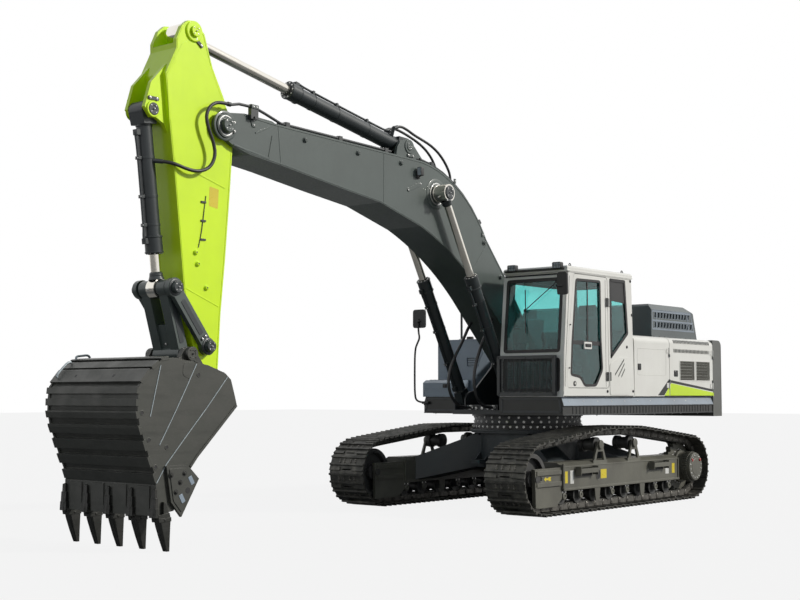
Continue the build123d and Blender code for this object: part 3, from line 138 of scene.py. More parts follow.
# colour, tone of the film of dust, roughness, gloss coat, edge rounding, lighter edge (painted highlight and
# wear)
paints = {
    "armLime": ((.7, .985, 0.0), (.63, .9, .004), .36, .25, .006, 0.0),
    "stripeLime": ((.62, .86, 0.0), (.56, .78, .004), .36, .2, .001, 0.0),
    "boomGrey": ((.07, .09, .083), (.057, .073, .067), .36, .25, .006, .25),
    # dark cylinder paint, also painted shade in the arm's boss holes
    "cylinderGrey": ((.024, .031, .034), (.02, .026, .028), .38, .15, .004, .2),
    "cabWhite": ((.79, .785, .745), (.73, .72, .68), .32, .35, .005, 0.0),
    "charcoal": ((.026, .03, .033), (.036, .039, .04), .42, .15, .004, .3),
    "skirtDark": ((.017, .0175, .016), (.026, .026, .024), .45, .1, .004, .25),
    "deckBlue": ((.24, .29, .35), (.2, .235, .28), .4, .2, .001, 0.0),
    "coverGrey": ((.105, .124, .126), (.086, .1, .102), .42, .15, .004, .3),
    "tankSilver": ((.28, .345, .42), (.245, .295, .355), .36, .3, .006, .15),
    "weightGrey": ((.1, .104, .094), (.082, .084, .075), .4, .2, .008, .25),
    "frameOlive": ((.14, .138, .112), (.085, .082, .068), .45, .12, .005, .3),
    "carBodyDark": ((.034, .044, .05), (.045, .05, .052), .45, .12, .006, .3),
    "bearingBlack": ((.007, .007, .008), (.014, .014, .014), .4, .1, .003, .3),
    # black plastic, also painted shade in holes, slots, louvres and behind grilles
    "plasticBlack": ((.011, .012, .013), (.02, .02, .021), .5, 0.0, .003, 0.0),
    "reflectYellow": ((.75, .6, .03), (.66, .52, .03), .3, .3, 0.0, 0.0),
    "reflectWhite": ((.72, .72, .7), (.62, .62, .6), .3, .3, 0.0, 0.0),
    "reflectRed": ((.42, .012, .01), (.34, .012, .01), .3, .4, 0.0, 0.0),
}


def edgeWearAndHighlight(tree, tone, colour, amount):
    # painted highlight with wear: a lighter line where the rounded normal leaves the flat one
    flat = addNode(tree, "NewGeometry", {}).outputs["Normal"]
    bend = dotProduct(tree, roundNormal(tree, .012), flat)
    lighter = tuple(min(c * 1.9 + .02, 1) for c in colour)
    return blendColour(tree, spread(tree, bend, .985, .82, 0, amount), tone, lighter)


def insideMask(tree, place, planes):
    # one where a point lies on the inner side of every plane, each a direction and a distance
    result = None
    for direction, distance in planes:
        over = calculate(tree, "GREATER_THAN", dotProduct(tree, place, direction), distance)
        result = calculate(tree, "MULTIPLY", result, over) if result else over
    return result


# the cab shell's inner faces turn near black: the dark lining, and painted shade inside the cab
cabInsideDark = {"colour": (.02, .024, .026), "planes": (((0, 1, 0), .512), ((0, -1, 0), -1.4835),
    ((0, 0, 1), 1.49), ((0, 0, -1), -3.1), ((1, 0, -.0346), -.467), ((-1, 0, -.028), -1.43),
    ((-1, 0, -.1), -1.578))}


def makePaint(name, colour, dust, rough, coat, edge, worn):
    tree, shader, place = nodeTree(name)
    fine, runs = noise(tree, place, 55, 3), noise(tree, place, 3.5, 6, (4, 4, .35))
    tone = cloudTone(tree, noise(tree, place, 2.2, 5), .35, .72, colour, dust)
    tone = blendColour(tree, spread(tree, runs, .52, .8, 0, .35), tone, dust)
    # lighter edges: a painted highlight along them, with their wear
    if worn:
        tone = edgeWearAndHighlight(tree, tone, colour, worn)
    # painted shade inside the cab, over its dark lining: the shell's inner faces turn near black
    if name == "cabWhite":
        tone = blendColour(tree, insideMask(tree, place, cabInsideDark["planes"]), tone, cabInsideDark["colour"])
    feed(tree, shader, {"Base Color": tone, "Roughness": spread(tree, fine, .3, .7, rough - .05, rough + .09),
        "Coat Weight": coat, "Coat Roughness": .12})
    roughen(tree, shader, noise(tree, place, 160, 2), .06, .002, edge)


for paintName, values in paints.items():
    makePaint(paintName, *values)


def makeSteel(name, colour, worn, rough, metal, scale, amount):
    tree, shader, place = nodeTree(name)
    patch, streak = noise(tree, place, scale, 8), noise(tree, place, scale * .6, 6, (1, 1, 6))
    tone = cloudTone(tree, patch, .42, .66, colour, worn)
    tone = blendColour(tree, spread(tree, streak, .5, .8, 0, .5), tone, tuple(c * .45 for c in colour))
    feed(tree, shader, {"Base Color": tone, "Metallic": metal,
        "Roughness": spread(tree, patch, .35, .7, rough + .1, rough - .08)})
    roughen(tree, shader, noise(tree, place, scale * 14, 5), amount, .003, .004)


makeSteel("trackSteel", (.05, .05, .045), (.105, .1, .088), .48, .45, 9, .35)
makeSteel("wornSteel", (.11, .105, .095), (.2, .19, .17), .4, .6, 14, .25)
makeSteel("bucketSteel", (.056, .058, .051), (.078, .078, .07), .42, .3, 4, .2)
makeSteel("toothSteel", (.022, .023, .02), (.045, .045, .042), .42, .4, 9, .3)
makeSteel("castIron", (.06, .06, .06), (.1, .1, .095), .5, .4, 7, .3)
# pale bluish steel: a painted highlight on the bucket's weld beads and loop handles
makeSteel("weldPale", (.3, .345, .37), (.42, .47, .5), .4, .4, 20, .15)
makeSteel("zincSteel", (.55, .55, .54), (.7, .7, .68), .3, .9, 30, .1)


def makeBright(name, scale, detail, colour, haze, rough):
    # polished metal under a faint haze
    tree, shader, place = nodeTree(name)
    cloud = noise(tree, place, scale, detail)
    feed(tree, shader, {"Base Color": cloudTone(tree, cloud, .3, .7, colour, haze), "Metallic": 1.0,
        "Roughness": spread(tree, cloud, .3, .7, *rough)})


def makeGlass(name, tint, clear):
    tree, shader, place = nodeTree(name)
    tone = cloudTone(tree, noise(tree, place, 1.6, 3), .3, .7, tint, tuple(c * .86 for c in tint))
    feed(tree, shader, {"Base Color": tone, "Roughness": .02, "IOR": 1.45, "Transmission Weight": clear,
        "Specular IOR Level": .22})
    roughen(tree, shader, noise(tree, place, 3, 1), .02, .002)


def makeRubber(name, colour, rough, scale):
    tree, shader, place = nodeTree(name)
    grain = noise(tree, place, scale, 4)
    feed(tree, shader, {"Base Color": cloudTone(tree, grain, .35, .7, colour, tuple(c * 1.7 for c in colour)),
        "Roughness": spread(tree, grain, .3, .7, rough, rough + .15)})
    roughen(tree, shader, noise(tree, place, scale * 8, 3), .15, .001)


makeBright("rodChrome", 6, 3, (.86, .83, .76), (.78, .74, .66), (.1, .17))
makeBright("mirrorSilver", 5, 2, (.8, .84, .86), (.72, .77, .8), (.04, .04))
makeGlass("cabGlass", (.4, .84, .82), .99)
makeGlass("lampGlass", (.62, .68, .72), .25)
makeRubber("hoseRubber", (.016, .016, .017), .4, 20)
# black rubber for the seals and wiper, also painted shade in holes, slots and under the steps
makeRubber("gasketRubber", (.008, .008, .009), .5, 30)
makeRubber("seatCloth", (.03, .032, .036), .85, 60)

nodeFinish = {
    "trackSteel": "tracks",
    "frameOlive": "track_frames final_drives",
    "castIron": "idlers track_rollers engine",
    "carBodyDark": "car_body",
    "bearingBlack": "slew_ring_outer",
    "charcoal": "revolving_frame front_guard tank_rail boom_pipes",
    "skirtDark": "side_decks",
    "weightGrey": "counterweight",
    "coverGrey": "engine_cover engine_hood",
    "tankSilver": "hydraulic_tank fuel_tank tool_box tool_box_lid",
    "cabWhite": "cab_shell cab_roof cab_door side_door_front side_door_rear side_door_right",
    "cabGlass": "cab_glass cab_door_glass",
    "seatCloth": "operator_seat",
    "plasticBlack": "control_consoles mirrors roof_lamps boom_lamp",
    "boomGrey": "boom rocker_links connecting_link",
    "cylinderGrey": "boom_cylinder_barrel arm_cylinder_barrel bucket_cylinder_barrel",
    "rodChrome": "boom_cylinder_rod arm_cylinder_rod bucket_cylinder_rod",
    "armLime": "arm",
    "bucketSteel": "bucket",
    "toothSteel": "bucket_teeth",
}
for finish, names in nodeFinish.items():
    for nodeName in names.split():
        mesh = nodes[nodeName].data
        mesh.materials.clear()
        mesh.materials.append(finishes[finish])
print("finishes ready")


def routeCurve(name, points, thick=0.0):
    data = bpy.data.curves.new(name, "CURVE")
    data.dimensions = "3D"
    data.resolution_u = 10
    data.bevel_depth = thick / 2
    data.bevel_resolution = 5
    data.use_fill_caps = True
    line = data.splines.new("NURBS")
    line.points.add(len(points) - 1)
    for spot, place in zip(line.points, points):
        spot.co = (*place, 1)
    line.order_u = 3
    line.use_endpoint_u = True
    return bpy.data.objects.new(name, data)


upward = (0, 0, 1)


def addPrism(bm, outline, low, high, across="y"):
    def place(a, b, c):
        return {"y": (a, c, b), "x": (c, a, b), "z": (a, b, c)}[across]
    near = [bm.verts.new(place(a, b, low)) for a, b in outline]
    far = [bm.verts.new(place(a, b, high)) for a, b in outline]
    bm.faces.new(near)
    bm.faces.new(far[::-1])
    for i in range(len(outline)):
        bm.faces.new((near[i - 1], far[i - 1], far[i], near[i]))


def rect(x0, x1, z0, z1):
    return [(x0, z0), (x1, z0), (x1, z1), (x0, z1)]


def turnedRect(x, z, wide, high, turn):
    # a rectangle about its own middle, given by its half sizes
    c, k = cos(turn), sin(turn)
    return [(x + a * c - b * k, z + a * k + b * c) for a, b in rect(-wide, wide, -high, high)]


def span(side, near, far):
    # two planes on one side of the machine, the lower one first
    return sorted((side * near, side * far))


def skin(face, side, under, over):
    # planes just under and over a face that looks sideways
    return sorted((face - side * under, face + side * over))


def newShapes(count):
    return [bmesh.new() for _ in range(count)]


def addBlock(bm, x, y, z):
    addPrism(bm, rect(*x, *z), *y)


def addTurned(bm, start, along, profile, sides=28, hollow=False):
    # along is a direction, or just 1 or -1 for the machine's left or right
    if not isinstance(along, (tuple, Vector)):
        along = (0, along, 0)
    start, along = Vector(start), Vector(along).normalized()
    side = along.orthogonal().normalized()
    up = along.cross(side)
    rings = []
    for reach, radius in profile:
        turns = [2 * pi * i / sides for i in range(sides)]
        rings.append([bm.verts.new(start + along * reach + (side * cos(a) + up * sin(a)) * radius)
            for a in turns])
    pairs = list(zip(rings, rings[1:]))
    if hollow:
        pairs.append((rings[-1], rings[0]))
    else:
        bm.faces.new(rings[0])
        bm.faces.new(rings[-1][::-1])
    for first, second in pairs:
        for i in range(sides):
            bm.faces.new((first[i - 1], first[i], second[i], second[i - 1]))


def addRing(bm, start, along, low, high, inner, outer, sides):
    profile = [(low, inner), (low, outer), (high, outer), (high, inner)]
    addTurned(bm, start, along, profile, sides, True)


def addBar(bm, start, end, radius, sides=16):
    start, end = Vector(start), Vector(end)
    addTurned(bm, start, end - start, [(0, radius), ((end - start).length, radius)], sides)


def addBolt(bm, place, along, size):
    addTurned(bm, place, along, [(0, size), (size * .18, size)], 14)
    addTurned(bm, place, along,
        [(size * .15, size * .66), (size * .62, size * .66), (size * .72, size * .54)], 6)


def addBoltRing(bm, centre, along, radius, count, size, start=0.0):
    x, y, z = centre
    for i in range(count):
        a = 2 * pi * (i + start) / count
        c, k = radius * cos(a), radius * sin(a)
        addBolt(bm, (x + c, y + k, z) if along == upward else (x + c, y, z + k), along, size)


def addPipe(bm, route, radius):
    spare = routeCurve("spare", route, radius * 2)
    mesh = bpy.data.meshes.new_from_object(spare)
    bm.from_mesh(mesh)
    bpy.data.objects.remove(spare)
    bpy.data.meshes.remove(mesh)


def addRidge(bm, points, width, low, high):
    # a narrow flat bead that follows XZ points between two Y planes
    for a, b in zip(points, points[1:]):
        run = dist(a, b)
        nx, nz = -(b[1] - a[1]) / run * width / 2, (b[0] - a[0]) / run * width / 2
        addPrism(bm, [(a[0] + nx, a[1] + nz), (b[0] + nx, b[1] + nz), (b[0] - nx, b[1] - nz),
            (a[0] - nx, a[1] - nz)], low, high)


def rounded(points, radius, steps=5):
    # the outline with each corner turned into a short arc
    result = []
    for before, at, after in zip(points[-1:] + points[:-1], points, points[1:] + points[:1]):
        before, at, after = Vector(before), Vector(at), Vector(after)
        reach = min(radius, (before - at).length * .45, (after - at).length * .45)
        first, last = at + (before - at).normalized() * reach, at + (after - at).normalized() * reach
        for i in range(steps + 1):
            t = i / steps
            result.append(tuple(first * (1 - t) ** 2 + at * 2 * t * (1 - t) + last * t * t))
    return result


def roundRect(x0, x1, z0, z1, radius):
    return rounded(rect(x0, x1, z0, z1), radius)


def shrunk(points, distance):
    # the outline moved inward by a distance
    area = sum(a[0] * b[1] - b[0] * a[1] for a, b in zip(points, points[1:] + points[:1]))
    turn = 1 if area > 0 else -1
    result = []
    for before, at, after in zip(points[-1:] + points[:-1], points, points[1:] + points[:1]):
        a = atan2(at[1] - before[1], at[0] - before[0]) + turn * pi / 2
        b = atan2(after[1] - at[1], after[0] - at[0]) + turn * pi / 2
        half = remainder(b - a, 2 * pi) / 2
        reach = distance / cos(half)
        result.append((at[0] + reach * cos(a + half), at[1] + reach * sin(a + half)))
    return result


def addFrame(bm, outline, width, place, thick):
    # a flat band inside an outline; place turns (a, b, height) into a point
    inner = shrunk(outline, width)
    rings = [[bm.verts.new(place(a, b, h)) for a, b in line]
        for line, h in ((outline, 0), (outline, thick), (inner, thick), (inner, 0))]
    count = len(outline)
    for first, second in zip(rings, rings[1:] + rings[:1]):
        for i in range(count):
            bm.faces.new((first[i - 1], first[i], second[i], second[i - 1]))


def clipX(points, low, high):
    for limit, keep in ((low, 1), (high, -1)):
        result = []
        for a, b in zip(points, points[1:] + points[:1]):
            inA, inB = keep * (a[0] - limit) >= 0, keep * (b[0] - limit) >= 0
            if inA:
                result.append(a)
            if inA != inB:
                t = (limit - a[0]) / (b[0] - a[0])
                result.append((limit, a[1] + t * (b[1] - a[1])))
        points = result
    return points


upper = "upperstructure"  # the body that turns on the slew ring
bodySide = 1.4965  # just under the outer faces of the cab, the doors and the tanks


def finishPiece(bm, name, finish, body, slot, bevel=0.0, steps=2, smooth=32):
    bmesh.ops.recalc_face_normals(bm, faces=bm.faces)
    mesh = bpy.data.meshes.new(name)
    bm.to_mesh(mesh)
    bm.free()
    piece = bpy.data.objects.new(name, mesh)
    scene.collection.objects.link(piece)
    mesh.materials.append(finishes[finish])
    for face in mesh.polygons:
        face.use_smooth = True
    mesh.set_sharp_from_angle(angle=radians(smooth))
    if bevel:
        edge = piece.modifiers.new("edge", "BEVEL")
        edge.width = bevel
        edge.segments = steps
        edge.limit_method = "ANGLE"
        edge.angle_limit = radians(38)
        edge.harden_normals = True
    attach(piece, body)
    return piece


def finishAll(body, rows):
    for bm, name, finish, slot, *edge in rows:
        finishPiece(bm, name, finish, body, slot, *edge)


hoses = {
    "bucket_hose": {
        "thick": .038, "between": ("boom", "arm"), "turn": ((6.3, 0, 4.9), (6.3, 0, 4.0)),
        "points": ((6.18, .3, 4.637), (6.268, .3, 4.637), (6.364, .3, 4.618), (6.446, .3, 4.558),
                   (6.49, .3, 4.456), (6.455, .3, 4.328), (6.384, .3, 4.202), (6.348, .3, 4.066),
                   (6.4, .3, 3.938), (6.506, .295, 3.868), (6.623, .285, 3.848), (6.73, .268, 3.864),
                   (6.826, .244, 3.892), (6.904, .204, 3.9148), (6.948, .15, 3.922)),
    },
    "arm_cylinder_hose_left": {
        "thick": .034, "between": ("arm_cylinder_barrel", "boom"), "turn": ((3.05, 0, 4.9), (2.2, 0, 4.6)),
        "points": ((3.055, .1, 4.905), (2.99, .1, 4.925), (2.86, .1, 4.9), (2.71, .1, 4.85),
                   (2.55, .105, 4.812), (2.4, .115, 4.768), (2.27, .125, 4.705), (2.16, .135, 4.62),
                   (2.075, .145, 4.52), (2.01, .15, 4.41), (2.01, .15, 4.32)),
    },
    "arm_cylinder_hose_right": {
        "thick": .034, "between": ("arm_cylinder_barrel", "boom"), "turn": ((3.0, 0, 4.9), (2.1, 0, 4.6)),
        "points": ((3.025, -.06, 4.9), (2.96, -.062, 4.925), (2.83, -.07, 4.92), (2.67, -.08, 4.893),
                   (2.5, -.092, 4.858), (2.33, -.105, 4.812), (2.17, -.118, 4.745), (2.035, -.13, 4.65),
                   (1.94, -.142, 4.53), (1.885, -.15, 4.405), (1.885, -.15, 4.3)),
    },
    "boom_hose_left": {
        "thick": .042, "between": (upper, "boom"), "turn": ((1.3, 0, 1.4), (1.3, 0, 2.4)),
        "points": ((1.13, .19, 1.34), (1.23, .19, 1.34), (1.365, .19, 1.375), (1.48, .19, 1.465),
                   (1.545, .19, 1.6), (1.555, .19, 1.75), (1.52, .19, 1.9), (1.455, .19, 2.045),
                   (1.375, .19, 2.19), (1.29, .19, 2.32), (1.225, .19, 2.43), (1.1288, .19, 2.5422)),
    },
    "boom_hose_right": {
        "thick": .042, "between": (upper, "boom"), "turn": ((1.3, 0, 1.4), (1.3, 0, 2.4)),
        "points": ((1.13, -.19, 1.34), (1.23, -.19, 1.34), (1.375, -.19, 1.365), (1.51, -.19, 1.44),
                   (1.6, -.19, 1.57), (1.62, -.19, 1.72), (1.575, -.19, 1.86), (1.5, -.19, 1.985),
                   (1.415, -.19, 2.1), (1.325, -.19, 2.205), (1.24, -.19, 2.32), (1.165, -.19, 2.43),
                   (1.091, -.19, 2.5074)),
    },
}


def makeHose(name, s):
    bare = routeCurve(name + "Line", s["points"])
    centre = bpy.data.meshes.new_from_object(bare)
    full = routeCurve(name + "Round", s["points"], s["thick"])
    tube = bpy.data.meshes.new_from_object(full)
    for spare in (bare, full):
        bpy.data.objects.remove(spare)
    hose = bpy.data.objects.new(name + "Tube", tube)
    scene.collection.objects.link(hose)
    tube.materials.clear()
    tube.materials.append(finishes["hoseRubber"])
    for face in tube.polygons:
        face.use_smooth = True
    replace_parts(hose, name)
    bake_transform(hose)


for hoseName, settings in hoses.items():
    makeHose(hoseName, settings)
print("hoses laid")

# tracks: the chain's pitch line round idlers, carrier rollers and sprockets
track = {"centre": 1.295, "pitch": .216, "teethRound": 11, "halfBase": 2.015, "seat": .044, "plate": .012,
    "grouser": .024, "carrier": (.455, .85), "carrierReach": .163, "railOut": .115, "shoeHalf": .3}


def trackPins(s):
    around = s["pitch"] / (2 * sin(pi / s["teethRound"]))
    axle = around + s["seat"] + s["plate"] + s["grouser"]
    cx, cz = s["carrier"]
    wheels = [((s["halfBase"], axle), around), ((cx, cz), s["carrierReach"]), ((-cx, cz), s["carrierReach"]),
        ((-s["halfBase"], axle), around)]
    normals = []
    for (c1, r1), (c2, r2) in zip(wheels, wheels[1:] + wheels[:1]):
        heading = atan2(c2[1] - c1[1], c2[0] - c1[0])
        normals.append(heading - acos((r1 - r2) / dist(c1, c2)))
    runs = []
    for i, (c, r) in enumerate(wheels):
        enter, leave = normals[i - 1], normals[i]
        while leave < enter:
            leave += 2 * pi
        c2, r2 = wheels[(i + 1) % 4]
        n = Vector((cos(leave), sin(leave)))
        runs.append((r * (leave - enter), lambda t, c=c, r=r, a=enter, b=leave:
            Vector(c) + r * Vector((cos(a + t * (b - a)), sin(a + t * (b - a))))))
        first, last = Vector(c) + r * n, Vector(c2) + r2 * n
        runs.append(((last - first).length, lambda t, a=first, b=last: a.lerp(b, t)))
    total = sum(run[0] for run in runs)
    count = round(total / s["pitch"])
    pins = []
    for i in range(count):
        left = i * total / count
        for length, point in runs:
            if left <= length:
                break
            left -= length
        pins.append(point(min(left / length, 1)))
    return pins


def makeTrackDetail(s):
    pins = trackPins(s)
    bolts, links, ends = newShapes(3)
    for side in (-1, 1):
        y = side * s["centre"]
        for i, a in enumerate(pins):
            b = pins[(i + 1) % len(pins)]
            u = (b - a).normalized()
            out = Vector((u.y, -u.x))
            top = s["seat"] + s["plate"]
            for share in (.42, .58):
                spot = a.lerp(b, share) + out * top
                for across in (-.135, -.055, .055, .135):
                    addBolt(bolts, (spot.x, y + across, spot.y), (out.x, 0, out.y), .017)
            for face in (-1, 1):
                plane = y + face * s["railOut"]
                addTurned(links, (a.x, plane, a.y), face, [(0, .04), (.014, .04), (.018, .034), (.018, .02),
                    (.024, .018)], 20)
                line = [a + out * .036 + u * .03, b + out * .036 - u * .03, b - out * .04 - u * .045,
                    (a + b) / 2 - out * .024, a - out * .04 + u * .045]
                low, high = sorted((plane, plane + face * .009))
                addPrism(links, [tuple(p) for p in line], low, high)
                # the lip that each shoe lays over the next one
                edge = y + face * s["shoeHalf"]
                lip = [a + out * .03 - u * .03, a + out * .057 - u * .03, a + out * .057 + u * .028,
                    a + out * .03 + u * .022]
                low, high = sorted((edge, edge - face * .185))
                addPrism(ends, [tuple(p) for p in lip], low, high)
    finishAll("undercarriage", [
        (bolts, "shoeBolts", "wornSteel", "track_steel"),
        (links, "chainLinks", "wornSteel", "track_steel", .002, 1),
        (ends, "shoeLips", "trackSteel", "track_steel", .002, 1),
    ])


makeTrackDetail(track)

frameTrim = {"face": 1.48, "axle": .4634, "rollers": [1.38 - .4 * i for i in range(8)], "rollerZ": .2183,
    "sprocket": -2.015}


def makeFrameTrim(s):
    iron, dark, cover, zinc, bright, white, red = newShapes(7)
    for side in (-1, 1):
        face = side * s["face"]

        def outward(depth):
            return sorted((face, face + side * depth))
        # plate edge along the beam's top and foot
        addPrism(iron, rect(-1.71, 1.43, .29, .315), *outward(.024))
        addPrism(iron, rect(-1.71, 1.43, .583, .6), *outward(.006))
        # end plates of the beam
        addPrism(iron, rect(1.405, 1.432, .3, .63), *outward(.034))
        addPrism(iron, rect(-1.712, -1.69, .29, .6), *outward(.014))
        # guard round the idler fork, with the adjuster hole
        addPrism(iron, [(1.98, .11), (2.05, .11), (2.066, .585), (2.04, .585)], *outward(.012))
        # dark disc: painted shade in the adjuster hole
        addTurned(dark, (1.929, face, .465), side, [(0, .03), (.003, .03)], 24)
        addTurned(iron, (1.929, face, .465), side, rect(0, .008, .031, .041), 24, True)
        # oval hole with a rim; the hole is a dark patch, painted shade
        oval = [(.54 + .05 * cos(a), .462 + .066 * sin(a)) for a in [2 * pi * i / 28 for i in range(28)]]
        addPrism(dark, oval, *outward(.002))
        addFrame(iron, [(.54 + (x - .54) * 1.18, .462 + (z - .462) * 1.14) for x, z in oval], .008,
            lambda a, b, h: (a, face + side * h, b), .005)
        # plain reflectors and the arrow that shows the way the chain is tensioned
        for x, z, wide, high, bm in ((.397, .465, .15, .12, bright), (1.368, .46, .075, .15, bright),
                (1.188, .456, .085, .17, white), (-1.373, .461, .1, .15, white),
                (-1.56, .458, .08, .14, bright)):
            plane = outward(.0245) if 1.3 < x else outward(.0015)
            addPrism(bm, rect(x - wide / 2, x + wide / 2, z - high / 2, z + high / 2), *plane)
        arrow = [(1.85, .456), (1.8, .487), (1.8, .467), (1.745, .467), (1.745, .48), (1.68, .48), (1.7, .456),
            (1.68, .432), (1.745, .432), (1.745, .445), (1.8, .445), (1.8, .425)]
        addPrism(bright, arrow, *outward(.0015))
        # steps: cleats on the treads, and beneath them a dark strip of painted shade
        for low, high in ((.69, 1.1), (-1.26, -.85)):
            treadLow, treadHigh = sorted((face + side * .005, face + side * .095))
            for i in range(9):
                x = low + .03 + i * (high - low - .06) / 8
                addPrism(iron, [(x - .008, .56), (x + .008, .56), (x, .572)], treadLow, treadHigh)
            addPrism(iron, rect(low - .012, low, .47, .585), treadLow, treadHigh)
            addPrism(iron, rect(high, high + .012, .47, .585), treadLow, treadHigh)
            # painted shade behind and under the step
            addPrism(dark, rect(low, high, .455, .498), *outward(.0015))
        # roller ends with their bolts
        for x in s["rollers"]:
            for half in (-1, 1):
                plane = side * track["centre"] + half * .18
                addTurned(iron, (x, plane, s["rollerZ"]), half,
                    [(0, .046), (.012, .046), (.018, .04), (.018, .02), (.008, .016)], 22)
                for dx in (-.036, .036):
                    addBolt(zinc, (x + dx, plane, .272), half, .014)
        # carrier brackets: hub rings and cap bolts
        for x in (.455, -.455):
            plane = side * (track["centre"] + .17)
            addTurned(iron, (x, plane, .85), side, [(0, .062), (.022, .062), (.028, .055), (.028, .035)], 28)
            for dx in (-.13, .13):
                addBolt(zinc, (x + dx, side * 1.43, .645), upward, .016)
        # final drive cover with its ring of bolts and two drain plugs
        hub = side * 1.595
        addTurned(cover, (s["sprocket"], hub, s["axle"]), side,
            [(0, .2), (.01, .2), (.016, .194), (.016, .12), (.02, .115), (.02, .04)], 48)
        addBoltRing(zinc, (s["sprocket"], hub + side * .016, s["axle"]), side, .165, 16, .012, .5)
        for a in (.7, 2.45):
            addTurned(red, (s["sprocket"] + .155 * cos(a), hub + side * .016, s["axle"] + .155 * sin(a)), side,
                [(0, .022), (.012, .022), (.016, .016)], 18)
        addBoltRing(zinc, (s["sprocket"], side * (track["centre"] + .038), s["axle"]), side, .245, 24, .013)
    finishAll("undercarriage", [
        (iron, "frameTrim", "frameOlive", "frame_grey", .003, 1),
        (dark, "frameHoles", "gasketRubber", "bearing_black"),
        (cover, "driveCovers", "frameOlive", "frame_grey", .002, 1),
        (zinc, "frameBolts", "zincSteel", "frame_grey"),
        (bright, "yellowReflectors", "reflectYellow", "frame_grey"),
        (white, "whiteReflectors", "reflectWhite", "frame_grey"),
        (red, "drainPlugs", "reflectRed", "frame_grey"),
    ])


makeFrameTrim(frameTrim)

slewRing = {"lower": (.78, 1.07, 52), "middle": (.755, 1.14, 40), "upper": (.755, 1.2, 34), "size": .017}


def makeSlewRing(s):
    for name, body in (("lower", "undercarriage"), ("middle", upper), ("upper", upper)):
        radius, z, count = s[name]
        bm = bmesh.new()
        for i in range(count):
            a = 2 * pi * (i + .35) / count
            addBolt(bm, (radius * cos(a), radius * sin(a), z), (cos(a), sin(a), 0), s["size"])
        finishPiece(bm, name + "RingBolts", "zincSteel", body, "bearing_black")
    bm = bmesh.new()
    addRing(bm, (0, 0, 1.105), upward, 0, .012, .75, .768, 96)
    addRing(bm, (0, 0, 1.215), upward, 0, .031, .75, .79, 96)
    finishPiece(bm, "turningRingFlange", "bearingBlack", upper, "bearing_black", .003, 1)


makeSlewRing(slewRing)

carBody = {"hatch": .34, "collar": .81}


def makeCarBodyTrim(s):
    iron, zinc = newShapes(2)
    addRing(iron, (0, 0, 1.004), upward, 0, .024, .79, s["collar"], 96)
    for end in (-1, 1):
        # hatch over the swivel joint, front and rear
        addBlock(iron, sorted((end * .62, end * .632)), (-s["hatch"], s["hatch"]), (.66, .93))
        for y in (-.29, 0, .29):
            for z in (.69, .9):
                addBolt(zinc, (end * .632, y, z), (end, 0, 0), .014)
        for side in (-1, 1):
            for y in (.22, .38):
                addPrism(iron, [(end * .62, .61), (end * .76, .61), (end * .62, .72)], side * y - .008,
                    side * y + .008)
    finishPiece(iron, "carBodyTrim", "carBodyDark", "undercarriage", "frame_grey", .003, 1)
    finishPiece(zinc, "carBodyBolts", "zincSteel", "undercarriage", "frame_grey")


makeCarBodyTrim(carBody)
print("undercarriage dressed")

cab = {"side": 1.497, "door": 1.495, "inner": .5, "front": ((1.4, 1.485), (1.384, 2.058), (1.285, 3.05),
    (1.24, 3.134)), "doorWindow": [(.415, 1.846), (.586, 1.631), (.877, 1.625), (.985, 1.739), (1.219, 1.769),
    (1.187, 2.184), (1.078, 3.03), (.462, 3.04), (.452, 2.274)],
    "quarter": [(.2, 2.01), (.212, 3.085), (-.19, 3.085), (-.262, 2.353)],
    "right": [(-.25, 2.08), (1.18, 2.08), (1.09, 3.04), (-.25, 3.04)], "rubber": .042, "lap": .008,
    "slots": (((.106, 1.785), (-.142, 1.997)), ((.018, 1.762), (-.152, 1.942)),
    ((-.063, 1.757), (-.161, 1.868)))}


def frontFace(z):
    for (x1, z1), (x2, z2) in zip(cab["front"], cab["front"][1:]):
        if z <= z2:
            return x1 + (x2 - x1) * (z - z1) / (z2 - z1)
    return cab["front"][-1][0]


